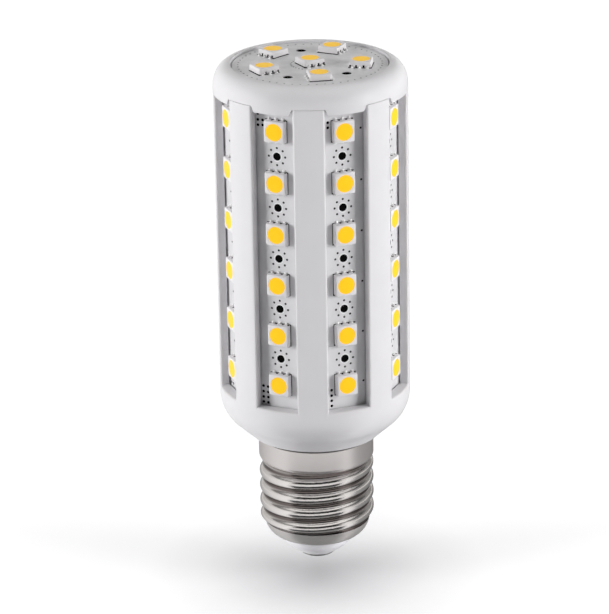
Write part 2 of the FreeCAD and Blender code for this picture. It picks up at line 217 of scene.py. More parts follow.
class Shading(Tree):
    """A Principled material that is built up from procedural patterns on Object coordinates."""

    def __init__(self, name: str) -> None:
        """Starts the material.

        Args:
            name: The material's name.
        """
        self.material = bpy.data.materials.new(name)
        super().__init__(self.material)
        self.surface = self.nodes["Principled BSDF"].inputs

    def put(self, **values: object) -> None:
        """Sets or links sockets of the surface, named with underscores for spaces."""
        for name, value in values.items():
            self.give(self.surface[name.replace("_", " ")], value)

    def noise(self, size: float, grain: Grain = Grain.EVEN) -> Socket:
        """A noise pattern.

        Args:
            size: Width of the pattern's features in mm.
            grain: Which way the features are stretched.

        Returns:
            The pattern's value, around 0.5.
        """
        place = self.add("TexCoord").outputs["Object"]
        spot = self.add("Mapping", {"Vector": place, "Scale": grain.value}).outputs["Vector"]
        inputs = {"Vector": spot, "Scale": 1.0 / (size * MM), "Detail": NOISE_DETAIL}
        return self.add("TexNoise", inputs).outputs["Fac"]

    def reach(self, near: float, far: float) -> Socket:
        """How far out from the piece's upright axis a point lies.

        Args:
            near: Radius in mm that gives 0.
            far: Radius in mm that gives 1.

        Returns:
            The share of the way between them.
        """
        place = self.add("TexCoord").outputs["Object"]
        level = self.add("VectorMath", {0: place, 1: (1.0, 1.0, 0.0)}, operation="MULTIPLY")
        return self.ranged(self.length(level.outputs["Vector"]), (near * MM, far * MM))

    def relief(self, pattern: Socket, height: float) -> None:
        """Gives the surface a fine relief of a height in mm."""
        bump = self.add("Bump", {"Height": pattern, "Strength": 1.0, "Distance": height * MM})
        self.put(Normal=bump.outputs["Normal"])


# Finishes


@dataclass(frozen=True)
class Moulding:
    """A moulded plastic, lacquer or board mask with a faint mottle and an even sheen."""

    name: str
    colour: Colour
    roughness: float = 0.4
    mottle: float = 0.02
    mottle_size: float = 6.0
    relief: float = 0.0
    relief_size: float = 0.5
    specular: float = 0.5

    def material(self) -> bpy.types.Material:
        """Makes the finish as a Blender material.

        Returns:
            The material.
        """
        shading = Shading(self.name)
        shading.put(Roughness=self.roughness, Specular_IOR_Level=self.specular)
        light = tuple(min(1.0, c * (1 + self.mottle)) for c in self.colour)
        dark = tuple(c * (1 - self.mottle) for c in self.colour)
        pattern = shading.noise(self.mottle_size)
        shading.put(Base_Color=shading.ramp(pattern, dict(zip(NOISE_SPAN, (dark, light)))))
        if self.relief:
            shading.relief(shading.noise(self.relief_size), self.relief)
        return shading.material


@dataclass(frozen=True)
class Plating:
    """A plated or tinned metal, satin or polished, that can have painted shade in the roots of a thread."""

    name: str
    colour: Colour
    smooth: float
    rough: float
    grain: Grain = Grain.EVEN
    grain_size: float = 1.0
    relief: float = 0.0
    edge: Colour = (0.6, 0.6, 0.6)
    metal: float = 1.0
    # Painted shade: a darker colour in a thread's roots that fades out towards its crests
    root: Colour | None = None
    root_radius: float = 12.1
    crest_radius: float = 13.1
    root_shade_share: float = 0.3

    def material(self) -> bpy.types.Material:
        """Makes the finish as a Blender material.

        Returns:
            The material.
        """
        shading = Shading(self.name)
        shading.put(Metallic=self.metal, Base_Color=self.colour, Specular_Tint=self.edge)
        pattern = shading.noise(self.grain_size, self.grain)
        # Painted shade in the thread's roots
        if self.root:
            share = shading.reach(self.root_radius, self.crest_radius)
            shading.put(Base_Color=shading.ramp(share, {0.0: self.root, self.root_shade_share: self.colour}))
        shading.put(Roughness=shading.ranged(pattern, NOISE_SPAN, (self.smooth, self.rough)))
        if self.relief:
            shading.relief(pattern, self.relief)
        return shading.material


@dataclass(frozen=True)
class Phosphor:
    """The yellow silicone of a package, warmer towards its rim, which its UV map marks."""

    name: str = "phosphor_silicone"
    middle: Colour = (0.98, 0.57, 0.006)
    rim: Colour = (0.96, 0.56, 0.06)
    rim_from: float = 0.8
    roughness: float = 0.35
    specular: float = 0.3
    # Painted light: the phosphor glows a little, as if lit from within
    painted_glow: float = 0.28

    def material(self) -> bpy.types.Material:
        """Makes the finish as a Blender material.

        Returns:
            The material.
        """
        shading = Shading(self.name)
        shading.put(Roughness=self.roughness, Specular_IOR_Level=self.specular)
        # Painted glow of the phosphor
        shading.put(Emission_Color=self.middle, Emission_Strength=self.painted_glow)
        distance = shading.length(shading.add("UVMap").outputs["UV"])
        stops = {0.0: self.middle, self.rim_from: self.middle, 1.0: self.rim}
        shading.put(Base_Color=shading.ramp(distance, stops))
        return shading.material


@dataclass(frozen=True)
class Finishes:
    """Every finish on the bulb, by the part that wears it."""

    housing: Moulding = Moulding("housing_plastic", (0.80, 0.790, 0.807), 0.32, 0.012, 9.0, 0.004, 0.35)
    mask: Moulding = Moulding("board_mask", (0.72, 0.715, 0.73), 0.42, 0.02, 3.0)
    top_mask: Moulding = Moulding("top_board_mask", (0.82, 0.815, 0.83), 0.36, 0.07, 2.6)
    # Near-black discs in the small plated holes: partly their solder fill, partly painted shade
    via: Moulding = Moulding("via_fill_painted_shade", (0.05, 0.048, 0.05), 0.8, 0.2, 0.5, specular=0.1)
    pad: Moulding = Moulding("hole_land", (0.86, 0.86, 0.87), 0.35, 0.01)
    # Black for painted shade: discs inside the holes, and the seat and pockets round each package
    dark: Moulding = Moulding("painted_shade_black", (0.004, 0.004, 0.004), 0.9, 0.3, 0.5, specular=0.0)
    package: Moulding = Moulding("package_moulding", (0.85, 0.83, 0.84), 0.45, 0.01, 1.5)
    insulator: Moulding = Moulding("insulator_moulding", (0.9, 0.89, 0.92), 0.35, 0.01)
    phosphor: Phosphor = Phosphor()
    # Near-white and barely metallic, so leads and beads show as bright spots: tin's own pale colour and
    # painted glint
    tin: Plating = Plating("lead_tin", (0.98, 0.975, 0.97), 0.2, 0.35, Grain.EVEN, 0.4, 0.01, WHITE, 0.08)
    solder: Plating = Plating("solder", (1.0, 0.995, 0.99), 0.15, 0.25, Grain.EVEN, 0.4, 0.01, WHITE, 0.05)
    satin: Plating = Plating("satin_nickel", (0.60, 0.57, 0.56), 0.30, 0.42, Grain.AROUND, 0.9, metal=0.85)
    taper: Plating = Plating("taper_nickel", (0.52, 0.50, 0.49), 0.34, 0.44, Grain.AROUND, 0.9, metal=0.6)
    # Dark band in a shallow groove under the bowl's edge: painted shadow of the bowl's overhang
    seam: Moulding = Moulding("painted_shade_line", (0.15, 0.145, 0.14), 0.6, 0.1)
    # Polished thread with painted shade in its roots
    polished: Plating = Plating("polished_nickel", (0.64, 0.615, 0.605), 0.07, 0.18, Grain.AROUND, 1.1, 0.012,
                                root=(0.12, 0.10, 0.095))
    # Darker than bare nickel: partly a dull solder look, partly painted shade for the shadowed floor that it
    # faces
    contact: Plating = Plating("contact_solder_and_painted_shade", (0.30, 0.30, 0.29), 0.25, 0.4)
    laminate: Moulding = Moulding("driver_laminate", (0.42, 0.30, 0.14), 0.5, 0.06, 2.0)
    film: Moulding = Moulding("film_case", (0.55, 0.06, 0.04), 0.3, 0.03)
    sleeve: Moulding = Moulding("can_sleeve", (0.03, 0.03, 0.035), 0.3, 0.05)
    epoxy: Moulding = Moulding("moulded_epoxy", (0.03, 0.03, 0.03), 0.55, 0.08, 0.8)
    lacquer: Moulding = Moulding("resistor_lacquer", (0.36, 0.24, 0.12), 0.35, 0.04)
    brown: Moulding = Moulding("brown_insulation", (0.12, 0.05, 0.02), 0.45)
    blue: Moulding = Moulding("blue_insulation", (0.02, 0.07, 0.35), 0.45)
    red: Moulding = Moulding("red_insulation", (0.45, 0.02, 0.02), 0.45)
    black: Moulding = Moulding("black_insulation", (0.02, 0.02, 0.02), 0.45)


# Places and lines


def direction(azimuth: float) -> Vector:
    """The level unit vector at an azimuth in degrees."""
    angle = math.radians(azimuth)
    return Vector((math.sin(angle), -math.cos(angle), 0.0))


def azimuth_of(place: Vector) -> float:
    """The azimuth of a place, in degrees."""
    return math.degrees(math.atan2(place.x, -place.y))


def nearest_window(place: Vector) -> float:
    """The azimuth of the board whose window a place lies in."""
    return (math.floor(azimuth_of(place) / SECTOR) + 0.5) * SECTOR


def from_rib(place: Vector) -> tuple[float, float]:
    """The azimuth of the rib nearest to a place, and how far round from it the place lies."""
    middle = round(azimuth_of(place) / SECTOR) * SECTOR
    return middle, azimuth_of(place) - middle


def arc(centre: Point, width: float, height: float, start: float, end: float, steps: int) -> list[Point]:
    """Points along part of an ellipse.

    Args:
        centre: The ellipse's centre, as radius and level.
        width: Its half width.
        height: Its half height.
        start: Angle of the first point in degrees.
        end: Angle of the last point in degrees.
        steps: How many steps lie between them.

    Returns:
        The points, as radius and level.
    """
    points = []
    for i in range(steps + 1):
        angle = math.radians(start + (end - start) * i / steps)
        points.append((centre[0] + width * math.cos(angle), centre[1] + height * math.sin(angle)))
    return points


def bulged(low: Point, high: Point, push: Point, steps: int) -> list[Point]:
    """Points along a line that swells out in its middle.

    Args:
        low: Its first end, as radius and level.
        high: Its last end.
        push: How far its middle is moved, as radius and level.
        steps: How many steps it has.

    Returns:
        The points, as radius and level.
    """
    points = []
    for i in range(steps + 1):
        t = i / steps
        out = 4 * t * (1 - t)
        points.append((low[0] + (high[0] - low[0]) * t + push[0] * out,
                       low[1] + (high[1] - low[1]) * t + push[1] * out))
    return points


# Forms


class Plane(Enum):
    """A plane to draw in, with +X to the right: the way it faces and the way up in it."""

    FRONT = ((0.0, -1.0, 0.0), (0.0, 0.0, 1.0))
    LEVEL = ((0.0, 0.0, 1.0), (0.0, 1.0, 0.0))

    @property
    def normal(self) -> Vector:
        """The way it faces."""
        return Vector(self.value[0])

    @property
    def up(self) -> Vector:
        """The way up in it."""
        return Vector(self.value[1])


def only(kind: type, geom: list[Vert | Edge | Face]) -> list[Vert] | list[Edge] | list[Face]:
    """The elements of one kind in what a bmesh operator gives back."""
    return [g for g in geom if isinstance(g, kind)]


class Form:
    """A mesh in the making, in millimetres."""

    def __init__(self) -> None:
        """Starts with an empty mesh."""
        self.bm = bmesh.new()

    def line(self, points: list[Point], closed: bool = False) -> list[Edge]:
        """Draws a line in the plane through the axis at azimuth 0.

        Args:
            points: Its points, as radius and level.
            closed: Whether the last point joins the first.

        Returns:
            The line's edges.
        """
        verts = [self.bm.verts.new((0.0, -r, z)) for r, z in points]
        pairs = list(zip(verts, verts[1:]))
        if closed:
            pairs.append((verts[-1], verts[0]))
        return [self.bm.edges.new(pair) for pair in pairs]

    def turn(self, edges: list[Edge], steps: int) -> None:
        """Turns a line once round the axis.

        Args:
            edges: The line.
            steps: How many steps make the full turn.
        """
        verts = dict.fromkeys(v for e in edges for v in e.verts)
        bmesh.ops.spin(self.bm, geom=[*verts, *edges], cent=(0, 0, 0), axis=(0, 0, 1), dvec=(0, 0, 0),
                       angle=math.tau, space=Matrix.Identity(4), steps=steps, use_merge=True,
                       use_normal_flip=False, use_duplicate=False)
        bmesh.ops.remove_doubles(self.bm, verts=self.bm.verts, dist=MERGED)

    def loop(self, points: list[Vector]) -> list[Edge]:
        """Draws a closed loop through points in space."""
        verts = [self.bm.verts.new(p) for p in points]
        return [self.bm.edges.new((v, verts[(i + 1) % len(verts)])) for i, v in enumerate(verts)]

    def ring(self, centre: Vector, radius: float, sides: int, plane: Plane) -> list[Edge]:
        """Draws a circle.

        Args:
            centre: Its centre.
            radius: Its radius.
            sides: How many sides it has.
            plane: The plane that it lies in.

        Returns:
            The circle's edges.
        """
        right, up = Vector((1, 0, 0)), plane.up
        points = []
        for i in range(sides):
            angle = math.tau * i / sides
            points.append(centre + radius * (math.cos(angle) * right + math.sin(angle) * up))
        return self.loop(points)

    def fill(self, edges: list[Edge], plane: Plane) -> list[Face]:
        """Fills flat loops, with the inner ones left open as holes.

        Args:
            edges: The edges of all loops.
            plane: The plane that they lie in.

        Returns:
            The filling.
        """
        made = bmesh.ops.triangle_fill(self.bm, use_beauty=True, use_dissolve=False, edges=edges,
                                       normal=plane.normal)
        return only(Face, made["geom"])

    def push(self, faces: list[Face], by: Vector) -> list[Vert]:
        """Extrudes faces.

        Args:
            faces: The faces.
            by: How far and which way their copy moves.

        Returns:
            The moved vertices.
        """
        moved = only(Vert, bmesh.ops.extrude_face_region(self.bm, geom=faces)["geom"])
        bmesh.ops.translate(self.bm, verts=moved, vec=by)
        return moved

    def plate(self, edges: list[Edge], plane: Plane, thickness: float) -> None:
        """Fills flat loops and makes the filling thick, away from the side that the plane faces."""
        self.push(self.fill(edges, plane), plane.normal * -thickness)

    def strip(self, edges: list[Edge]) -> tuple[list[Vert], list[Edge]]:
        """Extrudes edges to a strip, and gives its far side, which still has to be moved.

        Args:
            edges: The edges.

        Returns:
            The far side's vertices and edges.
        """
        made = bmesh.ops.extrude_edge_only(self.bm, edges=edges)["geom"]
        return only(Vert, made), only(Edge, made)

    def round_off(self, edges: list[Edge], size: float, segments: int) -> None:
        """Rounds edges off.

        Args:
            edges: The edges.
            size: How far the rounding reaches from each edge.
            segments: How many faces it has across.
        """
        bmesh.ops.bevel(self.bm, geom=edges, offset=size, offset_type="OFFSET", segments=segments,
                        profile=0.5, affect="EDGES", material=-1, clamp_overlap=True)

    def block(self, low: Vector, high: Vector, rounding: float) -> None:
        """Adds a box.

        Args:
            low: Its lowest corner.
            high: Its highest corner.
            rounding: How far its edges are rounded off.
        """
        place = Matrix.Translation((low + high) / 2) @ Matrix.Diagonal((*(high - low), 1.0))
        made = bmesh.ops.create_cube(self.bm, size=1.0, matrix=place)
        if rounding:
            self.round_off(list(dict.fromkeys(e for v in made["verts"] for e in v.link_edges)), rounding, 2)

    def bead(self, centre: Vector, size: Vector, material: int) -> None:
        """Adds a rounded bead.

        Args:
            centre: Its middle.
            size: How far it reaches from there, each way.
            material: Its material's index.
        """
        place = Matrix.Translation(centre) @ Matrix.Diagonal((*size, 1.0))
        made = bmesh.ops.create_icosphere(self.bm, subdivisions=2, radius=1.0, matrix=place)
        for face in dict.fromkeys(f for v in made["verts"] for f in v.link_faces):
            face.material_index = material

    def stamp(self, template: bpy.types.Mesh, place: Matrix) -> None:
        """Adds a copy of a finished template.

        Args:
            template: The template's mesh, in millimetres.
            place: Where the copy goes.
        """
        before = len(self.bm.verts)
        self.bm.from_mesh(template)
        self.bm.verts.ensure_lookup_table()
        bmesh.ops.transform(self.bm, matrix=place, verts=self.bm.verts[before:])

    def template(self, name: str) -> bpy.types.Mesh:
        """Ends the form as a mesh that stays in millimetres, to be stamped.

        Args:
            name: The mesh's name.

        Returns:
            The mesh.
        """
        bmesh.ops.recalc_face_normals(self.bm, faces=self.bm.faces)
        mesh = bpy.data.meshes.new(name)
        self.bm.to_mesh(mesh)
        self.bm.free()
        return mesh

    def placed(self, name: str, materials: list[bpy.types.Material]) -> bpy.types.Object:
        """Ends the form as an object in metres.

        Args:
            name: Its name.
            materials: Its materials, by face index.

        Returns:
            The object.
        """
        bmesh.ops.scale(self.bm, vec=(MM, MM, MM), verts=self.bm.verts)
        mesh = bpy.data.meshes.new(name)
        self.bm.to_mesh(mesh)
        self.bm.free()
        for material in materials:
            mesh.materials.append(material)
        made = bpy.data.objects.new(name, mesh)
        bpy.context.scene.collection.objects.link(made)
        return made

    def piece(self, name: str, materials: list[bpy.types.Material], slot: str, *stands_for: str) -> None:
        """Ends the form as a piece of the bulb.

        Args:
            name: The piece's name.
            materials: Its materials, by face index.
            slot: Not used (meant as the record's material slot that it takes its finish from).
            stands_for: The CAD nodes that it replaces.
        """
        bmesh.ops.recalc_face_normals(self.bm, faces=self.bm.faces)
        open_edges = sum(1 for e in self.bm.edges if not e.is_manifold)
        for edge in self.bm.edges:
            edge.smooth = len(edge.link_faces) == 2 and edge.calc_face_angle(0.0) < SMOOTH_LIMIT
        for face in self.bm.faces:
            face.smooth = True
        made = self.placed(name, materials)
        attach(made, BODY)
        if stands_for:
            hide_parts(*stands_for)
        LOG.info("%s: %d faces, %d open edges", name, len(made.data.polygons), open_edges)


@dataclass(frozen=True)
class Pattern:
    """A finished mesh that is stamped in many places, and what the pieces made of it are called."""

    mesh: bpy.types.Mesh
    materials: list[bpy.types.Material]
    slot: str
    name: str
    stands_for: str = ""

    def stamp(self, places: list[Matrix], before: str = "", after: str = "") -> None:
        """Makes one piece of copies.

        Args:
            places: Where the copies go.
            before: What comes before the names.
            after: What comes after them.
        """
        form = Form()
        for place in places:
            form.stamp(self.mesh, place)
        nodes = [before + self.stands_for + after] if self.stands_for else []
        form.piece(before + self.name + after, self.materials, self.slot, *nodes)


@dataclass(frozen=True)
class Holes:
    """Round holes of one kind in a board, each with a dark disc inside it: painted shade."""

    middles: list[Vector]
    radius: float
    sides: int
    depth: float
    plane: Plane
    disc: float = 0.1

    def rim(self, form: Form, middle: Vector, wider: float = 0.0) -> list[Edge]:
        """Draws the rim of a hole with this middle, or a circle round it that is so much wider."""
        return form.ring(middle, self.radius + wider, self.sides, self.plane)

    def rims(self, form: Form) -> list[Edge]:
        """Draws the rims of all the holes."""
        return [edge for middle in self.middles for edge in self.rim(form, middle)]

    def shade_discs(self, form: Form) -> None:
        """Adds a dark disc inside each hole, a little below its rim: painted shade."""
        for middle in self.middles:
            form.plate(self.rim(form, middle - self.plane.normal * self.depth), self.plane, self.disc)


def share_out(form: Form, edge_step: float, edge_angle: float) -> None:
    """Moves the columns of a turned form so that two of them frame each rib exactly.

    Args:
        form: The turned form.
        edge_step: Angle of the column that is to become the rib's edge, from the rib's middle.
        edge_angle: Where that column goes.
    """
    half = SECTOR / 2
    for vert in form.bm.verts:
        middle, away = from_rib(vert.co)
        size = abs(away)
        if size <= edge_step:
            size *= edge_angle / edge_step
        else:
            size = edge_angle + (size - edge_step) * (half - edge_angle) / (half - edge_step)
        swing(vert, middle + math.copysign(size, away))


def swing(vert: Vert, azimuth: float) -> None:
    """Moves a vertex round the axis to an azimuth."""
    vert.co.xy = (direction(azimuth) * math.hypot(vert.co.x, vert.co.y)).xy


# What the frame gives


def box_mm(node: str) -> tuple[Vector, Vector]:
    """A node's lowest and highest corners in millimetres."""
    low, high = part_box(node)
    return Vector(low) / MM, Vector(high) / MM


@dataclass(frozen=True)
class Bulb:
    """The bulb's main radii and levels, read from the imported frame."""

    body_radius: float
    board_face: float
    board_half_width: float
    board_bottom: float
    board_top: float
    board_thickness: float
    first_led: float
    rib_top: float
    ring_bottom: float
    ring_top: float
    top_board_radius: float
    top_board_face: float
    top_board_back: float
    package_height: float
    shell_bottom: float
    cap_length: float
    skirt_radius: float
    insulator_top: float
    contact_radius: float
    contact_top: float

    @classmethod
    def read(cls) -> "Bulb":
        """Works the sizes out from the boxes of the CAD nodes.

        Returns:
            The sizes.
        """
        ring_low, ring_high = box_mm("top_ring")
        _, housing_high = box_mm("housing")
        board_low, board_high = box_mm("led_board_2")
        package_low, _ = box_mm("led_packages_2")
        top_low, top_high = box_mm("top_board")
        packages_low, packages_high = box_mm("top_led_packages")
        shell_low, shell_high = box_mm("screw_shell")
        _, insulator_high = box_mm("insulator")
        _, contact_high = box_mm("centre_contact")
        # The second board stands askew, so its face and half width follow from two sides of its box
        turn = math.radians(1.5 * SECTOR)
        out, along = math.sin(turn), math.cos(turn)
        reach_x, reach_y = board_high.x, -board_low.y
        spread = out * out - along * along
        face = (reach_x * out - reach_y * along) / spread
        half_width = (reach_y * out - reach_x * along) / spread
        back = (board_low.x + half_width * along) / out
        return cls(
            body_radius=ring_high.x,
            board_face=face,
            board_half_width=half_width,
            board_bottom=board_low.z,
            board_top=board_high.z,
            board_thickness=face - back,
            first_led=package_low.z + LedPackage.side / 2,
            rib_top=housing_high.z,
            ring_bottom=ring_low.z,
            ring_top=ring_high.z,
            top_board_radius=top_high.x,
            top_board_face=top_high.z,
            top_board_back=top_low.z,
            package_height=packages_high.z - packages_low.z,
            shell_bottom=shell_low.z,
            cap_length=shell_high.z,
            skirt_radius=shell_high.x,
            insulator_top=insulator_high.z,
            contact_radius=contact_high.x,
            contact_top=contact_high.z,
        )


# Parts


@dataclass
class Housing:
    """The white moulding: neck, bowl and eight ribs, with a groove round each board."""

    bulb: Bulb
    window_half_width: float = 4.86
    groove_clearance: float = 0.06
    lip_gap: float = 0.42
    sill: float = 42.5
    rib_backing: float = 1.2
    bowl_height: float = 9.9
    bowl_round: float = 8.4
    bowl_steps: int = 22
    bowl_edge_radius: float = 15.1
    bowl_wall: float = 1.9
    bowl_lip: float = 0.22
    deck_thickness: float = 2.4
    deck_opening_radius: float = 13.5
    neck_radius: float = 11.55
    neck_bore: float = 9.65
    neck_bottom: float = 10.6
    joint_gap: float = 0.09
    rim_rounding: float = 0.55
    steps: int = 192
    rib_step: float = 9.375

    def bowl_line(self) -> list[Point]:
        """Draws the outer line of the moulding, from the neck's bottom up to the ribs' tops.

        Returns:
            Its points, as radius and level.
        """
        bulb = self.bulb
        centre = (bulb.body_radius - self.bowl_round, bulb.cap_length + self.bowl_height)
        gap = (self.bowl_edge_radius - centre[0], bulb.cap_length - centre[1])
        touch = math.degrees(math.atan2(gap[1], gap[0]) + math.acos(self.bowl_round / math.hypot(*gap)))
        points = [(self.neck_bore, self.neck_bottom), (self.neck_radius, self.neck_bottom)]
        points += [(self.neck_radius, bulb.cap_length)]
        lip = (self.bowl_edge_radius - self.bowl_lip, bulb.cap_length + self.bowl_lip)
        points += arc(lip, self.bowl_lip, self.bowl_lip, -90, -20, 3)
        points += arc(centre, self.bowl_round, self.bowl_round, touch, 0, self.bowl_steps)
        return points + [(bulb.body_radius, self.sill), (bulb.body_radius, self.top())]

    def inner_line(self) -> list[Point]:
        """Draws the inner line, from the deck's opening down to the neck's bottom.

        Returns:
            Its points, as radius and level.
        """
        floor = self.bulb.cap_length + self.bowl_wall
        deck = self.sill - self.deck_thickness
        opening = self.deck_opening_radius
        points = [(opening, self.sill), (opening, deck), (self.bulb.body_radius - self.bowl_wall, deck)]
        points += [(self.bowl_edge_radius, floor), (self.neck_bore, floor)]
        return points + [(self.neck_bore, self.neck_bottom)]

    def top(self) -> float:
        """The level of the ribs' tops."""
        return self.bulb.rib_top - self.joint_gap

    def open_windows(self, form: Form) -> list[Edge]:
        """Takes the skin out of the eight windows.

        Args:
            form: The turned moulding.

        Returns:
            The edges round the windows.
        """
        edge = self.rib_angle() - SLACK
        inside = self.deck_opening_radius + CLEAR
        skin = []
        for face in form.bm.faces:
            place = face.calc_center_median()
            outer = place.z > self.sill and place.xy.length > inside
            if outer and abs(from_rib(place)[1]) > edge:
                skin.append(face)
        bmesh.ops.delete(form.bm, geom=skin, context="FACES")
        rim = []
        for e in form.bm.edges:
            outer = e.verts[0].co.xy.length > inside
            if e.is_boundary and outer and min(v.co.z for v in e.verts) < self.top() - HAIR:
                rim.append(e)
        return rim

    def rib_angle(self) -> float:
        """Half of a rib's width on the skin, in degrees."""
        return SECTOR / 2 - math.degrees(math.asin(self.window_half_width / self.bulb.body_radius))

    def wall(self, form: Form, edges: list[Edge], depth: float, widen: float, lower: float) -> list[Edge]:
        """Draws the next strip of the windows' walls.

        Args:
            form: The moulding.
            edges: The edges that the strip starts from.
            depth: How far out from the axis the strip ends.
            widen: How far it goes sideways, into the ribs.
            lower: How far it goes down, into the deck.

        Returns:
            The edges that the strip ends on.
        """
        verts, ends = form.strip(edges)
        for vert in verts:
            azimuth = nearest_window(vert.co)
            out, along = direction(azimuth), direction(azimuth + 90)
            sideways, level = vert.co.dot(along), vert.co.z
            if abs(sideways) > self.window_half_width - SLACK:
                sideways = math.copysign(self.window_half_width + widen, sideways)
            if level < self.sill + SLACK:
                level = self.sill - lower
            vert.co = out * depth + along * sideways + Vector((0, 0, level))
        return ends

    def build(self, looks: Finishes) -> None:
        """Makes the moulding.

        Args:
            looks: Every finish on the bulb.
        """
        bulb = self.bulb
        form = Form()
        form.turn(form.line(self.bowl_line()) + form.line(self.inner_line()), self.steps)
        share_out(form, self.rib_step, self.rib_angle())
        rim = self.open_windows(form)
        front = bulb.board_face + self.lip_gap
        back = bulb.board_face - bulb.board_thickness - self.groove_clearance
        widen = bulb.board_half_width + self.groove_clearance - self.window_half_width
        lower = self.sill - bulb.board_bottom
        last = rim
        for depth, grooved in ((front, 0), (front, 1), (back, 1), (back, 0), (back - self.rib_backing, 0)):
            last = self.wall(form, last, depth, widen * grooved, lower * grooved)
        self.close_ribs(form, last)
        form.round_off(rim, self.rim_rounding, 4)
        form.piece("housing_moulding", [looks.housing.material()], "housing_plastic", "housing")

    def close_ribs(self, form: Form, last: list[Edge]) -> None:
        """Closes the ribs' backs and tops, and the deck between them.

        Args:
            form: The moulding.
            last: The innermost edges of the windows' walls.
        """
        upright = [e for e in last if abs(e.verts[0].co.z - e.verts[1].co.z) > CLEAR]
        for i in range(COLUMNS):
            middle = direction(i * SECTOR)
            pair = sorted(upright, key=lambda e: -e.verts[0].co.xy.dot(middle.xy))[:2]
            form.bm.faces.new(self.in_order([*pair[0].verts, *pair[1].verts], middle))
        boundary = [e for e in form.bm.edges if e.is_boundary]
        tops = [e for e in boundary if min(v.co.z for v in e.verts) > self.top() - HAIR]
        bmesh.ops.holes_fill(form.bm, edges=tops, sides=0)
        boundary = [e for e in form.bm.edges if e.is_boundary]
        form.fill([e for e in boundary if max(v.co.z for v in e.verts) < self.top() - CLEAR], Plane.LEVEL)

    @staticmethod
    def in_order(verts: list[Vert], middle: Vector) -> list[Vert]:
        """Sorts the corners of a rib's back round its middle.

        Args:
            verts: The four corners.
            middle: The rib's direction.

        Returns:
            The corners in order.
        """
        along = Vector((-middle.y, middle.x, 0))
        level = sum(v.co.z for v in verts) / len(verts)
        return sorted(verts, key=lambda v: math.atan2(v.co.z - level, v.co.dot(along)))


@dataclass
class TopRing:
    """The ring that closes the ribs and frames the round board."""

    bulb: Bulb
    housing: Housing
    round_width: float = 3.8
    wall_gap: float = 0.3
    shelf_width: float = 1.7
    lip_rounding: float = 0.22
    notch_clearance: float = 0.1
    notch_flare: float = 0.6
    flare_slack: float = 0.05
    rim_rounding: float = 0.12
    sharp: float = 0.5
    steps: int = 192

    def section(self) -> list[Point]:
        """Draws the ring's closed section above the ribs.

        Returns:
            Its points, as radius and level.
        """
        bulb = self.bulb
        opening = bulb.top_board_radius + self.wall_gap
        shelf = opening - self.shelf_width
        points = [(shelf, bulb.rib_top), (self.skirt_inside(), bulb.rib_top)]
        crown = (bulb.body_radius - self.round_width, bulb.rib_top)
        points += arc(crown, self.round_width, bulb.ring_top - bulb.rib_top, 0, 90, 20)
        lip = (opening + self.lip_rounding, bulb.ring_top - self.lip_rounding)
        points += arc(lip, self.lip_rounding, self.lip_rounding, 90, 180, 4)
        return points + [(opening, bulb.top_board_back), (shelf, bulb.top_board_back)]

    def window_depth(self) -> float:
        """How far out from the axis the skirt's inner wall lies in a window's middle."""
        return self.bulb.board_face + self.housing.groove_clearance

    def skirt_inside(self) -> float:
        """Radius of the skirt's inner wall where it meets a rib."""
        return self.window_depth() / math.cos(math.radians(SECTOR / 2 - self.housing.rib_angle()))

    def notch_angle(self) -> float:
        """Half of a notch's width, in degrees."""
        return self.housing.rib_angle() + math.degrees(self.notch_clearance / self.bulb.body_radius)

    def build(self, looks: Finishes) -> None:
        """Makes the ring.

        Args:
            looks: Every finish on the bulb.
        """
        bulb = self.bulb
        form = Form()
        form.turn(form.line(self.section(), closed=True), self.steps)
        share_out(form, self.housing.rib_step, self.notch_angle())
        inside = self.skirt_inside()
        for vert in form.bm.verts:
            if abs(vert.co.z - bulb.rib_top) < HAIR and abs(vert.co.xy.length - inside) < SLACK:
                reach = vert.co.dot(direction(nearest_window(vert.co)))
                vert.co.xy *= min(1.0, self.window_depth() / reach)
        skirt_from = (inside + bulb.body_radius) / 2 - CLEAR
        under = []
        for face in form.bm.faces:
            place = face.calc_center_median()
            under_skirt = abs(place.z - bulb.rib_top) < HAIR and place.xy.length > skirt_from
            if under_skirt and abs(from_rib(place)[1]) > self.notch_angle():
                under.append(face)
        self.flare(form.push(under, Vector((0, 0, bulb.ring_bottom - bulb.rib_top))))
        rim = [e for e in form.bm.edges if all(abs(v.co.z - bulb.ring_bottom) < HAIR for v in e.verts)
               and e.calc_face_angle(0.0) > self.sharp]
        form.round_off(rim, self.rim_rounding, 2)
        form.piece("top_ring_moulding", [looks.housing.material()], "housing_plastic", "top_ring")

    def flare(self, verts: list[Vert]) -> None:
        """Widens the mouth of each notch for a rib.

        Args:
            verts: The vertices of the skirt's lower face.
        """
        edge = self.notch_angle()
        for vert in verts:
            middle, away = from_rib(vert.co)
            if abs(abs(away) - edge) < self.flare_slack:
                wider = edge + math.degrees(self.notch_flare / vert.co.xy.length)
                swing(vert, middle + math.copysign(wider, away))


@dataclass(frozen=True)
class Stretch:
    """A straight stretch across one side of a package, seen out from its middle."""

    width: float
    near: float
    far: float
    low: float
    high: float
    rounding: float = 0.0

    def add(self, form: Form, place: float, end: int) -> None:
        """Adds the stretch to a form.

        Args:
            form: The form.
            place: Where its middle lies, along X.
            end: 1 for the package's +Y side, -1 for its -Y side.
        """
        ys = sorted((end * self.near, end * self.far))
        form.block(Vector((place - self.width / 2, ys[0], self.low)),
                   Vector((place + self.width / 2, ys[1], self.high)), self.rounding)


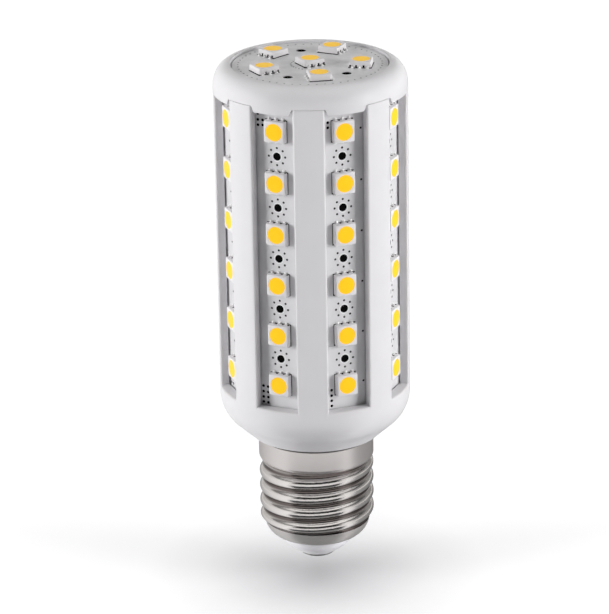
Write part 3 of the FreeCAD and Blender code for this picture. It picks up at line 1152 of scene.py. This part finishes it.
@dataclass
class LedPackage:
    """A square white package with a round yellow filling and six leads, face up at the origin."""

    height: float
    side: float = 5.0
    draft: float = 0.09
    undercut: float = 0.35
    undercut_height: float = 0.2
    notch: float = 0.32
    edge_rounding: float = 0.22
    cup_radius: float = 2.0
    cup_depth: float = 0.1
    cup_sides: int = 28
    filling_gap: float = 0.01
    filling_edge: float = 0.03
    filling_rise: float = 0.05
    filling_shares: tuple[float, ...] = (0.3, 0.6, 0.85, 1.0)
    lead_pitch: float = 1.65
    lead_level: float = 0.5
    lead_thickness: float = 0.16
    lead_reach: float = 0.18
    lead_hidden: float = 0.3
    lead_rounding: float = 0.05
    bar_width: float = 0.55
    bar_reach: float = 0.06
    bar_rounding: float = 0.04
    leg_width: float = 0.46
    leg_low: float = 0.02
    foot: float = 0.14
    foot_low: float = 0.03
    pad_width: float = 0.74
    pad_hidden: float = 0.25
    pad_reach: float = 0.48
    pad_height: float = 0.14
    pad_rounding: float = 0.06
    sink: float = 0.02
    bead: tuple[float, float, float] = (0.27, 0.24, 0.3)
    bead_reach: float = 0.04
    # Sizes of the painted shade: dark pockets beside the leads, and a dark seat under the package
    pocket_shade_width: float = 0.4
    pocket_shade_hidden: float = 0.4
    pocket_shade_reach: float = 0.015
    pocket_shade_low: float = 0.15
    pocket_shade_high: float = 0.68
    pocket_shade_margin: float = 0.16
    pocket_shade_rounding: float = 0.03
    seat_shade_margin: float = 0.1
    seat_shade_reach: float = 0.06
    seat_shade_height: float = 0.025

    def outline(self, inset: float, level: float) -> list[Vector]:
        """The package's outline with the corner cut off that marks its first lead.

        Args:
            inset: How far it lies inside the full square.
            level: Its height over the board.

        Returns:
            The corners.
        """
        half = self.side / 2 - inset
        cut = half - self.notch
        corners = [(half, -half), (half, half), (-half, half), (-half, -cut), (-cut, -half)]
        return [Vector((x, y, level)) for x, y in corners]

    def body(self) -> bpy.types.Mesh:
        """Makes the white moulding with its round cup.

        Returns:
            Its mesh.
        """
        form = Form()
        top = form.loop(self.outline(self.draft, self.height))
        rim = form.ring(Vector((0, 0, self.height)), self.cup_radius, self.cup_sides, Plane.LEVEL)
        form.fill(top + rim, Plane.LEVEL)
        cup, bottom = form.strip(rim)
        bmesh.ops.translate(form.bm, verts=cup, vec=(0, 0, -self.cup_depth))
        bmesh.ops.holes_fill(form.bm, edges=bottom, sides=0)
        half = self.side / 2
        grow, shrink = half / (half - self.draft), 1 - self.undercut / half
        rows, edges = [], top
        for scale, level in ((grow, self.undercut_height), (shrink, self.undercut_height), (1.0, 0.0)):
            verts, edges = form.strip(edges)
            for vert in verts:
                vert.co = Vector((vert.co.x * scale, vert.co.y * scale, level))
            rows.append(verts)
        bmesh.ops.holes_fill(form.bm, edges=edges, sides=0)
        corners = [e for e in form.bm.edges if sum(v in rows[0] for v in e.verts) == 1]
        form.round_off(corners + top, self.edge_rounding, 2)
        return form.template("package_body")

    def filling(self) -> bpy.types.Mesh:
        """Makes the yellow filling, a little proud in the middle, with a UV map that marks its rim.

        Returns:
            Its mesh.
        """
        form = Form()
        edge_level = self.height - self.filling_edge
        radius = self.cup_radius - self.filling_gap
        line = [(0.0, edge_level + self.filling_rise)]
        for share in self.filling_shares:
            line.append((radius * share, edge_level + self.filling_rise * (1 - share ** 2)))
        line += [(radius, self.height - self.cup_depth), (0.0, self.height - self.cup_depth)]
        form.turn(form.line(line), self.cup_sides)
        layer = form.bm.loops.layers.uv.new("rim")
        for face in form.bm.faces:
            for corner in face.loops:
                corner[layer].uv = corner.vert.co.xy / radius
        return form.template("package_filling")

    def painted_shade_marks(self) -> bpy.types.Mesh:
        """Makes painted shade: a dark seat for the shadow round the package's foot, and dark pockets for the
        shade beside its leads.

        Returns:
            Their mesh.
        """
        form = Form()
        out = self.side / 2
        over = out + self.seat_shade_reach
        Stretch(2 * (out + self.seat_shade_margin), -over, over, -self.sink, self.seat_shade_height).add(form, 0.0, 1)
        shade_pocket = Stretch(self.pocket_shade_width, out - self.pocket_shade_hidden, out + self.pocket_shade_reach, self.pocket_shade_low,
                         self.pocket_shade_high, self.pocket_shade_rounding)
        for end in (1, -1):
            for place in (-self.lead_pitch, 0.0, self.lead_pitch):
                middle = min(place + self.lead_pitch / 2, out - self.pocket_shade_width / 2 - self.pocket_shade_margin)
                shade_pocket.add(form, middle, end)
        return form.template("package_painted_shade")

    def leads(self) -> bpy.types.Mesh:
        """Makes six tinned leads, bent down to the board, each on its solder pad, with a bead of solder.

        Returns:
            Their mesh.
        """
        form = Form()
        out = self.side / 2
        inner, tip = out - self.lead_hidden, out + self.lead_reach
        level, thick, rounding = self.lead_level, self.lead_thickness, self.lead_rounding
        stretches = (
            Stretch(self.bar_width, inner, out + self.bar_reach, level - thick, level, self.bar_rounding),
            Stretch(self.leg_width, inner, tip, level - thick, level, rounding),
            Stretch(self.leg_width, tip - thick, tip, self.leg_low, level, rounding),
            Stretch(self.leg_width, out, tip + self.foot, self.foot_low, self.foot_low + thick, rounding),
            Stretch(self.pad_width, out - self.pad_hidden, out + self.pad_reach, -self.sink, self.pad_height,
                    self.pad_rounding),
        )
        for end in (1, -1):
            for place in (-self.lead_pitch, 0.0, self.lead_pitch):
                for stretch in stretches:
                    stretch.add(form, place, end)
                foot = Vector((place, end * (tip + self.bead_reach), self.pad_height))
                form.bead(foot, Vector(self.bead), material=1)
        return form.template("package_leads")

    def patterns(self, looks: Finishes) -> list[Pattern]:
        """Makes the package's meshes, to be stamped.

        Args:
            looks: Every finish on the bulb.

        Returns:
            The body, filling, leads and painted shade.
        """
        tinned = [looks.tin.material(), looks.solder.material()]
        return [
            Pattern(self.body(), [looks.package.material()], "package_plastic", "packages", "led_packages"),
            Pattern(self.filling(), [looks.phosphor.material()], "phosphor", "filling", "phosphor"),
            Pattern(self.leads(), tinned, "contact_metal", "leads"),
            # Painted shade round each package
            Pattern(self.painted_shade_marks(), [looks.dark.material()], "board_mask", "package_painted_shade"),
        ]


@dataclass
class LedBoards:
    """The eight upright boards with their packages."""

    bulb: Bulb
    package: LedPackage
    rows: int = 6
    pitch: float = 11.8
    hole_radius: float = 0.92
    hole_sides: int = 28
    land_width: float = 0.28
    land_height: float = 0.02
    via_radius: float = 0.27
    column_radius: float = 0.34
    via_sides: int = 12
    via_circle: float = 1.95
    vias_round_hole: int = 8
    hole_shade: float = 0.12
    via_shade: float = 0.05
    side_via: float = 4.4
    upper_outer: tuple[float, ...] = (3.5, 2.1, 0.9)
    upper_inner: tuple[float, ...] = (2.1, 0.95)
    lower_outer: tuple[float, ...] = (-1.1, -2.4, -3.7, -4.9)
    lower_inner: tuple[float, ...] = (-1.2, -2.5, -3.7, -4.95)
    inner_column: float = -3.28
    outer_column: float = -4.4

    def level(self, row: int) -> float:
        """The level of a row's packages."""
        return self.bulb.first_led + row * self.pitch

    def spot(self, across: float, level: float) -> Vector:
        """A place on the face of the board at azimuth 0."""
        return Vector((across, -self.bulb.board_face, level))

    def holes(self) -> Holes:
        """The wire holes between the packages."""
        middles = [self.spot(0.0, self.level(row) + self.pitch / 2) for row in range(self.rows - 1)]
        return Holes(middles, self.hole_radius, self.hole_sides, self.hole_shade, Plane.FRONT)

    def vias(self) -> Holes:
        """Places the small plated holes: a circle round each wire hole, and one beside each package.

        Returns:
            The holes.
        """
        middles = []
        for row in range(self.rows - 1):
            level = self.level(row) + self.pitch / 2
            for i in range(self.vias_round_hole):
                angle = math.tau * i / self.vias_round_hole
                across, up = self.via_circle * math.sin(angle), self.via_circle * math.cos(angle)
                middles.append(self.spot(across, level + up))
        middles += [self.spot(self.side_via, self.level(row)) for row in range(self.rows)]
        return Holes(middles, self.via_radius, self.via_sides, self.via_shade, Plane.FRONT)

    def columns(self) -> Holes:
        """Places the larger plated holes near the board's ends.

        Returns:
            The holes.
        """
        middles = []
        for row, across, offsets in ((self.rows - 1, self.outer_column, self.upper_outer),
                                     (self.rows - 1, self.inner_column, self.upper_inner),
                                     (0, self.outer_column, self.lower_outer),
                                     (0, self.inner_column, self.lower_inner)):
            middles += [self.spot(across, self.level(row) + offset) for offset in offsets]
        return Holes(middles, self.column_radius, self.via_sides, self.via_shade, Plane.FRONT)

    def board(self) -> bpy.types.Mesh:
        """Makes one board at azimuth 0 with all its holes.

        Returns:
            Its mesh.
        """
        bulb = self.bulb
        form = Form()
        half, low, high = bulb.board_half_width, bulb.board_bottom, bulb.board_top
        corners = ((-half, low), (half, low), (half, high), (-half, high))
        edges = form.loop([self.spot(x, z) for x, z in corners])
        for holes in (self.holes(), self.vias(), self.columns()):
            edges += holes.rims(form)
        form.plate(edges, Plane.FRONT, bulb.board_thickness)
        return form.template("board")

    def lands(self) -> bpy.types.Mesh:
        """Makes the pale rings round the wire holes of the board at azimuth 0.

        Returns:
            Their mesh.
        """
        form = Form()
        holes = self.holes()
        for middle in holes.middles:
            edges = holes.rim(form, middle) + holes.rim(form, middle, self.land_width)
            form.plate(edges, Plane.FRONT, -self.land_height)
        return form.template("board_lands")

    @staticmethod
    def shade_discs(name: str, *kinds: Holes) -> bpy.types.Mesh:
        """The dark discs inside some kinds of holes of the board at azimuth 0: painted shade.

        Args:
            name: The mesh's name.
            kinds: The holes.

        Returns:
            The mesh.
        """
        form = Form()
        for holes in kinds:
            holes.shade_discs(form)
        return form.template(name)

    def build(self, looks: Finishes) -> None:
        """Makes the boards, the packages and their fillings.

        Args:
            looks: Every finish on the bulb.
        """
        # Dark discs inside the wire holes and larger plated holes: painted shade
        shades = self.shade_discs("board_shades", self.holes(), self.columns())
        # Near-black discs in the small plated holes: partly their solder fill, partly painted shade
        shade_plugs = self.shade_discs("board_via_shade_plugs", self.vias())
        flat = [
            Pattern(self.board(), [looks.mask.material()], "board_mask", "board", "led_board"),
            Pattern(self.lands(), [looks.pad.material()], "board_mask", "hole_lands"),
            Pattern(shades, [looks.dark.material()], "board_mask", "hole_shades"),
            Pattern(shade_plugs, [looks.via.material()], "board_mask", "via_shade_plugs"),
        ]
        packages = self.package.patterns(looks)
        stood = Matrix.Rotation(math.radians(90), 4, "X")
        for i in range(COLUMNS):
            turn = Matrix.Rotation(math.radians((i + 0.5) * SECTOR), 4, "Z")
            places = [turn @ Matrix.Translation(self.spot(0.0, self.level(row))) @ stood
                      for row in range(self.rows)]
            for pattern in flat:
                pattern.stamp([turn], after="_%d" % (i + 1))
            for pattern in packages:
                pattern.stamp(places, after="_%d" % (i + 1))


@dataclass
class TopBoard:
    """The round board under the ring, with its six packages."""

    bulb: Bulb
    package: LedPackage
    leds: int = 5
    led_circle: float = 11.4
    led_start: float = 11.4
    hole_circle: float = 11.1
    hole_radius: float = 1.1
    hole_sides: int = 28
    hole_gaps: tuple[int, ...] = (0, 2, 4)
    tick_circle: float = 16.0
    ticks: int = 56
    tick_radius: float = 0.24
    tick_sides: int = 8
    tick_shade: float = 0.05
    hole_shade: float = 0.12
    inner_circle: float = 4.25
    inner_from: float = 241.0
    inner_to: float = 338.0
    inner_ticks: int = 9
    sides: int = 144

    def middle(self) -> Vector:
        """The middle of the board's face."""
        return Vector((0, 0, self.bulb.top_board_face))

    def led_azimuth(self, number: float) -> float:
        """The azimuth of a package of the circle, or of a place between two."""
        return self.led_start + number * 360.0 / self.leds

    def holes(self) -> list[Holes]:
        """Places the wire holes, and the ticks near the rim and round the middle package.

        Returns:
            The holes by kind.
        """
        level = self.middle()
        wires = [level + direction(self.led_azimuth(gap + 0.5)) * self.hole_circle for gap in self.hole_gaps]
        ticks = [level + direction(i * 360.0 / self.ticks) * self.tick_circle for i in range(self.ticks)]
        step = (self.inner_to - self.inner_from) / (self.inner_ticks - 1)
        ticks += [level + direction(self.inner_from + step * i) * self.inner_circle
                  for i in range(self.inner_ticks)]
        return [Holes(wires, self.hole_radius, self.hole_sides, self.hole_shade, Plane.LEVEL),
                Holes(ticks, self.tick_radius, self.tick_sides, self.tick_shade, Plane.LEVEL)]

    def build(self, looks: Finishes) -> None:
        """Makes the board, the packages and their fillings.

        Args:
            looks: Every finish on the bulb.
        """
        bulb = self.bulb
        form = Form()
        edges = form.ring(self.middle(), bulb.top_board_radius, self.sides, Plane.LEVEL)
        for holes in self.holes():
            edges += holes.rims(form)
        form.plate(edges, Plane.LEVEL, bulb.top_board_face - bulb.top_board_back)
        form.piece("round_board", [looks.top_mask.material()], "board_mask", "top_board")
        # Dark discs inside the wire holes and ticks: painted shade
        form = Form()
        for holes in self.holes():
            holes.shade_discs(form)
        form.piece("round_board_shades", [looks.dark.material()], "board_mask")
        places = []
        for i in range(self.leds):
            azimuth = self.led_azimuth(i)
            turn = Matrix.Rotation(math.radians(azimuth + 90), 4, "Z")
            places.append(Matrix.Translation(self.middle() + direction(azimuth) * self.led_circle) @ turn)
        # The package in the middle lies as the last one of the circle does
        places.append(Matrix.Translation(self.middle()) @ turn)
        for pattern in self.package.patterns(looks):
            pattern.stamp(places, before="top_")


class Zone(IntEnum):
    """The stretches of the cap with a finish of their own, in the order of its materials."""

    SKIRT = 0
    THREAD = 1
    TAPER = 2
    # A dark band in the groove under the bowl: painted shadow
    SEAM = 3


@dataclass
class ScrewCap:
    """The pressed cap with its rolled thread, the insulator and the centre contact."""

    bulb: Bulb
    skirt_bottom: float = 24.0
    shoulder_height: float = 1.1
    shoulder_share: float = 0.9
    rim_rounding: float = 0.2
    wall: float = 0.5
    root_radius: float = 12.1
    crest_radius: float = 13.1
    pitch: float = 3.629
    first_crest: float = 20.55
    crest_arc: float = 1.35
    run_out: float = 1.3
    thread_rows: int = 120
    taper_top: float = 8.8
    taper_bulge: float = 1.0
    taper_steps: int = 8
    mouth_radius: float = 8.1
    # The shallow groove whose dark band is painted shadow under the bowl's edge
    shade_line_level: float = 29.5
    shade_line_height: float = 0.4
    shade_line_depth: float = 0.25
    steps: int = 160
    tip_radius: float = 4.6
    tip_rounding: float = 0.3
    insulator_bulge: float = 1.0
    insulator_steps: int = 6
    insulator_gap: float = 0.02
    insulator_turns: int = 96
    contact_rounding: float = 0.35
    contact_turns: int = 72

    def ridge(self, offset: float) -> float:
        """Height of the thread over its root, as a share of its depth.

        Args:
            offset: Distance along the axis from the nearest crest.

        Returns:
            1 on the crest and 0 in the root, along two arcs that meet smoothly.
        """
        depth = self.crest_radius - self.root_radius
        half = self.pitch / 2
        slope = 2 * math.atan(depth / half)
        crest = self.crest_arc
        root = half / math.sin(slope) - crest
        away = abs(offset)
        if away <= crest * math.sin(slope):
            drop = crest - math.sqrt(crest ** 2 - away ** 2)
        else:
            drop = depth - (root - math.sqrt(max(0.0, root ** 2 - (half - away) ** 2)))
        return 1.0 - drop / depth

    def thread_radius(self, azimuth: float, level: float) -> float:
        """Radius of the cap's threaded stretch.

        Args:
            azimuth: Azimuth in degrees.
            level: Height in mm.

        Returns:
            The radius, with the thread run out at both ends.
        """
        rise = level - self.first_crest - self.pitch * ((azimuth + 90.0) % 360.0) / 360.0
        offset = rise - round(rise / self.pitch) * self.pitch
        low = min(1.0, max(0.0, (level - self.taper_top) / self.run_out))
        high = min(1.0, max(0.0, (self.skirt_bottom - level) / self.run_out))
        fade = low * low * (3 - 2 * low) * high * high * (3 - 2 * high)
        return self.root_radius + (self.crest_radius - self.root_radius) * self.ridge(offset) * fade

    def shell_section(self) -> list[Point]:
        """Draws the shell's closed section before its thread is rolled.

        Returns:
            Its points, as radius and level.
        """
        bulb = self.bulb
        mouth, top = (self.mouth_radius, bulb.shell_bottom), (self.root_radius, self.taper_top)
        along = (top[0] - mouth[0], top[1] - mouth[1])
        bulge = self.taper_bulge / math.hypot(*along)
        points = bulged(mouth, top, (bulge * along[1], -bulge * along[0]), self.taper_steps)
        row = (self.skirt_bottom - self.taper_top) / self.thread_rows
        points += [(self.root_radius, self.taper_top + row * i) for i in range(1, self.thread_rows)]
        points += [(self.root_radius, self.skirt_bottom)]
        shoulder = self.skirt_bottom + self.shoulder_height
        width = self.shoulder_height * self.shoulder_share
        skirt, floor = bulb.skirt_radius, bulb.skirt_radius - self.shade_line_depth
        points += arc((skirt - width, shoulder), width, self.shoulder_height, -80, 0, 8)
        # The groove for the painted shadow under the bowl
        shade_line_top = self.shade_line_level + self.shade_line_height
        points += [(skirt, self.shade_line_level), (floor, self.shade_line_level), (floor, shade_line_top), (skirt, shade_line_top)]
        rim = (skirt - self.rim_rounding, bulb.cap_length - self.rim_rounding)
        points += arc(rim, self.rim_rounding, self.rim_rounding, 0, 90, 3)
        bore, inner = skirt - self.wall, self.root_radius - self.wall
        points += [(bore, bulb.cap_length), (bore, shoulder), (inner, shoulder)]
        mouth_inside = bulb.shell_bottom + self.wall
        points += [(inner, mouth_inside + along[1] / along[0] * (inner - self.mouth_radius))]
        return points + [(self.mouth_radius, mouth_inside)]

    def build(self, looks: Finishes) -> None:
        """Makes the cap, the insulator and the contact.

        Args:
            looks: Every finish on the bulb.
        """
        self.build_shell(looks)
        self.build_insulator(looks)
        self.build_contact(looks)

    def build_shell(self, looks: Finishes) -> None:
        """Makes the shell and rolls its thread.

        Args:
            looks: Every finish on the bulb.
        """
        form = Form()
        form.turn(form.line(self.shell_section(), closed=True), self.steps)
        for vert in form.bm.verts:
            inside = self.taper_top + SLACK < vert.co.z < self.skirt_bottom - SLACK
            if inside and abs(vert.co.xy.length - self.root_radius) < SLACK:
                vert.co.xy *= self.thread_radius(azimuth_of(vert.co), vert.co.z) / self.root_radius
        for face in form.bm.faces:
            place = face.calc_center_median()
            outer = place.xy.length > self.bulb.skirt_radius - self.wall
            if place.z < self.taper_top:
                face.material_index = Zone.TAPER
            elif place.z < self.skirt_bottom:
                face.material_index = Zone.THREAD
            # The groove's outer faces take the painted shadow
            elif outer and self.shade_line_level < place.z < self.shade_line_level + self.shade_line_height:
                face.material_index = Zone.SEAM
        finishes = {Zone.SKIRT: looks.satin, Zone.THREAD: looks.polished, Zone.TAPER: looks.taper,
                    Zone.SEAM: looks.seam}
        form.piece("screw_cap", [finishes[zone].material() for zone in Zone], "cap_metal", "screw_shell")

    def build_insulator(self, looks: Finishes) -> None:
        """Makes the moulded plug in the cap's mouth.

        Args:
            looks: Every finish on the bulb.
        """
        bulb = self.bulb
        form = Form()
        low, high, rounding = bulb.contact_top, bulb.shell_bottom, self.tip_rounding
        corner = (self.tip_radius - rounding, low + rounding)
        line = [(0.0, low), (corner[0], low)] + arc(corner, rounding, rounding, -80, -20, 4)
        line += bulged((self.tip_radius, corner[1]), (self.mouth_radius, high), (self.insulator_bulge, 0.0),
                       self.insulator_steps)[1:]
        inside = self.mouth_radius - self.insulator_gap
        line += [(inside, high + self.wall), (inside, bulb.insulator_top), (0.0, bulb.insulator_top)]
        form.turn(form.line(line), self.insulator_turns)
        form.piece("insulator_plug", [looks.insulator.material()], "insulator_plastic", "insulator")

    def build_contact(self, looks: Finishes) -> None:
        """Makes the contact disc, with its rim rolled.

        Args:
            looks: Every finish on the bulb.
        """
        form = Form()
        rounding = self.contact_rounding
        flat = self.bulb.contact_radius - rounding
        line = [(0.0, 0.0), (flat, 0.0)] + arc((flat, rounding), rounding, rounding, -70, 90, 8)
        form.turn(form.line(line + [(0.0, self.bulb.contact_top)]), self.contact_turns)
        form.piece("contact_disc", [looks.contact.material()], "contact_metal", "centre_contact")


@dataclass
class Driver:
    """The supply inside the cap and bowl, whose solids stay as packed."""

    looks: Finishes
    wears: dict[str, str] = field(default_factory=lambda: {
        "driver_board": "laminate", "film_capacitor": "film", "smoothing_capacitor": "sleeve",
        "bridge_rectifier": "epoxy", "inrush_resistor": "lacquer", "bleeder_resistor": "lacquer",
        "live_wire": "brown", "neutral_wire": "blue", "led_wire_positive": "red",
        "led_wire_negative": "black"})

    def dress(self) -> None:
        """Gives each inner node its finish."""
        for node, finish in self.wears.items():
            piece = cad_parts[node]
            piece.data.materials.clear()
            piece.data.materials.append(getattr(self.looks, finish).material())
            LOG.info("%s dressed", node)


# The studio


@dataclass(frozen=True)
class Softbox:
    """An area lamp that reflections don't show."""

    name: str
    place: tuple[float, float, float]
    aim: tuple[float, float, float]
    width: float
    height: float
    power: float

    def hang(self) -> None:
        """Adds the lamp."""
        light = bpy.data.lights.new(self.name, "AREA")
        light.shape = "RECTANGLE"
        light.size, light.size_y = self.width * MM, self.height * MM
        light.energy = self.power
        lamp = bpy.data.objects.new(self.name, light)
        place = Vector(self.place)
        lamp.location = place * MM
        lamp.rotation_euler = (Vector(self.aim) - place).to_track_quat("-Z", "Y").to_euler()
        lamp.visible_glossy = False
        bpy.context.scene.collection.objects.link(lamp)


@dataclass
class Studio:
    """Floor, lamps, surroundings and camera."""

    lamps: tuple[Softbox, ...] = (
        Softbox("left_softbox", (-620, -200, 190), (0, 0, 70), 260, 420, 3.85),
        Softbox("right_softbox", (620, -200, 190), (0, 0, 70), 260, 420, 4.05),
        Softbox("overhead_softbox", (0, 100, 900), (0, 50, 0), 900, 900, 1.5),
    )
    floor_drop: float = 5.0
    floor_size: float = 6000.0
    floor_colour: Colour = (0.62, 0.62, 0.635)
    floor_reach: float = 260.0
    # Painted shadow: the floor's glow to the camera, dimmer near the bulb, by distance in mm
    painted_glow: tuple[Point, ...] = ((0, 0.05), (6, 0.09), (13, 0.25), (20, 0.37), (27, 0.47), (40, 0.56),
                               (120, 0.70), (260, 0.85))
    mirrored_floor: tuple[Point, ...] = ((0, 0.35), (22, 0.35), (30, 0.03), (58, 0.03), (67, 1.1), (260, 1.1))
    mirrored_front: tuple[Point, ...] = ((-180, 0.0), (-56, 0.0), (-50, 1.0), (50, 1.0), (56, 0.0),
                                         (180, 0.0))
    fill: tuple[Point, ...] = ((0.0, 0.03), (0.2, 0.03), (0.5, 0.08), (0.66, 0.16), (0.8, 0.42), (1.0, 0.46))
    tint: Colour = (1.0, 0.995, 0.975)
    screens: tuple[Point, ...] = ((-180, 0.6), (-143, 0.8), (-112, 0.9), (-100, 1.0), (-54, 1.25),
                                  (-47, 0.03), (47, 0.03), (54, 1.25), (68, 1.1), (82, 0.42),
                                  (150, 0.36), (180, 0.42))
    screen_top: float = 0.5
    screen_fade: float = 0.06
    over_screen: float = 0.3
    ceiling: float = 1.4
    ceiling_from: float = 0.72
    ceiling_fade: float = 0.12
    horizon: float = 1.1
    horizon_to: float = 0.14
    photo_height: int = 614
    focal_pixels: float = 3600.0
    distance: float = 815.0
    aim_level: float = 60.0
    camera_azimuth: float = 1.39
    elevation: float = 20.04
    pan: float = 0.15
    roll: float = -0.93
    sensor: float = 36.0
    sight: Point = (0.05, 20.0)

    def build(self) -> None:
        """Sets the studio up."""
        self.lay_floor()
        self.light_world()
        for lamp in self.lamps:
            lamp.hang()
        self.place_camera()
        bpy.context.scene.view_settings.view_transform = "Standard"

    def lay_floor(self) -> None:
        """Lays the pale floor under the bulb."""
        form = Form()
        bmesh.ops.create_grid(form.bm, x_segments=1, y_segments=1, size=self.floor_size / 2,
                              matrix=Matrix.Translation((0, 0, -self.floor_drop)))
        floor = form.placed("floor", [self.floor_material()])

    def floor_material(self) -> bpy.types.Material:
        """Makes a pale floor that glows a little to the camera, dimmer near the bulb as painted shadow and up
        to white farther off, and has its own mirror image.

        Returns:
            The material.
        """
        material = bpy.data.materials.new("pale_floor")
        tree = Tree(material)
        tree.nodes.remove(tree.nodes["Principled BSDF"])
        rays = tree.add("LightPath").outputs
        place = tree.add("TexCoord").outputs["Object"]
        share = tree.reckon("DIVIDE", tree.length(place), self.floor_reach * MM)
        # The glow by distance paints the bulb's shadow
        stops = {reach / self.floor_reach: (level, level, level) for reach, level in self.painted_glow}
        seen = tree.reckon("MAXIMUM", rays["Is Camera Ray"], rays["Is Transmission Ray"])
        strength = tree.reckon("MULTIPLY", seen, tree.ramp(share, stops, "B_SPLINE"))
        painted_glow = tree.add("Emission", {"Color": WHITE, "Strength": strength}).outputs["Emission"]
        matt = tree.add("BsdfDiffuse", {"Color": self.floor_colour}).outputs["BSDF"]
        both = tree.add("AddShader", {0: matt, 1: painted_glow}).outputs["Shader"]
        level = self.mirrored_level(tree, place, share)
        mirrored = tree.add("Emission", {"Strength": level}).outputs["Emission"]
        chosen = tree.add("MixShader", {"Fac": rays["Is Glossy Ray"], 1: both, 2: mirrored}).outputs["Shader"]
        tree.give(tree.nodes["Material Output"].inputs["Surface"], chosen)
        return material

    def mirrored_level(self, tree: Tree, place: Socket, share: Socket) -> Socket:
        """The floor as metal mirrors it: dark in front of the bulb, pale at its foot and farther off.

        Args:
            tree: The floor's nodes.
            place: The place on the floor.
            share: Its distance from the bulb, as a share of the floor's reach.

        Returns:
            The level.
        """
        stops = [(reach / self.floor_reach, level) for reach, level in self.mirrored_floor]
        radial = tree.curve(share, stops)
        front = tree.reckon("MULTIPLY", radial, tree.by_azimuth(place, self.mirrored_front))
        return tree.reckon("MAXIMUM", front, tree.by_azimuth(place, self.screens))

    def light_world(self) -> None:
        """Lights the surroundings, darker towards the photographer's side, and white to the camera."""
        world = bpy.data.worlds.new("studio")
        bpy.context.scene.world = world
        tree = Tree(world)
        rays = tree.add("LightPath").outputs
        place = tree.add("TexCoord").outputs["Generated"]
        split = tree.add("SeparateXYZ", {"Vector": place}).outputs
        fill = tree.curve(tree.ranged(split["Y"], (-1.0, 1.0)), list(self.fill))
        level = tree.mix(rays["Is Glossy Ray"], fill, self.mirrored_around(tree, place, split["Z"]))
        for ray in ("Is Camera Ray", "Is Transmission Ray"):
            level = tree.reckon("MAXIMUM", level, rays[ray])
        background = tree.nodes["Background"].inputs
        tree.give(background["Color"], self.tint)
        tree.give(background["Strength"], level)

    def mirrored_around(self, tree: Tree, place: Socket, height: Socket) -> Socket:
        """The surroundings as metal mirrors them: pale screens and horizon, and a paler ceiling.

        Args:
            tree: The world's nodes.
            place: The direction.
            height: How far up it points, from -1 to 1.

        Returns:
            The level.
        """
        edge = (self.screen_top, self.screen_top + self.screen_fade)
        above = tree.ranged(height, edge, (1.0, self.over_screen))
        screens = tree.reckon("MULTIPLY", tree.by_azimuth(place, self.screens), above)
        low = tree.ranged(height, (self.horizon_to + self.screen_fade, self.horizon_to), (0.0, self.horizon))
        high = tree.ranged(height, (self.ceiling_from, self.ceiling_from + self.ceiling_fade))
        return tree.mix(high, tree.reckon("MAXIMUM", screens, low), self.ceiling)

    def place_camera(self) -> None:
        """Places the camera at the photograph's angle."""
        azimuth, elevation = math.radians(self.camera_azimuth), math.radians(self.elevation)
        back = direction(self.camera_azimuth) * math.cos(elevation) + Vector((0, 0, math.sin(elevation)))
        right = Vector((math.cos(azimuth), math.sin(azimuth), 0))
        axes = Matrix((right, back.cross(right), back)).transposed().to_4x4()
        place = (back * self.distance + Vector((0, 0, self.aim_level))) * MM
        pan = Matrix.Rotation(math.radians(self.pan), 4, "Y")
        roll = Matrix.Rotation(math.radians(self.roll), 4, "Z")
        lens = bpy.data.cameras.new("photo_camera")
        lens.sensor_width = self.sensor
        lens.lens = self.focal_pixels * self.sensor / self.photo_height
        lens.clip_start, lens.clip_end = self.sight
        camera = bpy.data.objects.new("photo_camera", lens)
        camera.matrix_world = Matrix.Translation(place) @ axes @ (pan @ roll)
        bpy.context.scene.collection.objects.link(camera)
        bpy.context.scene.camera = camera


def main() -> None:
    """Builds the bulb part by part, then the studio round it."""
    logging.basicConfig(level=logging.INFO, format="%(name)s %(message)s")
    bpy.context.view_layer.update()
    bulb = Bulb.read()
    looks = Finishes()
    housing = Housing(bulb)
    housing.build(looks)
    TopRing(bulb, housing).build(looks)
    package = LedPackage(bulb.package_height)
    LedBoards(bulb, package).build(looks)
    TopBoard(bulb, package).build(looks)
    ScrewCap(bulb).build(looks)
    Driver(looks).dress()
    Studio().build()


if __name__ == "__main__":
    main()
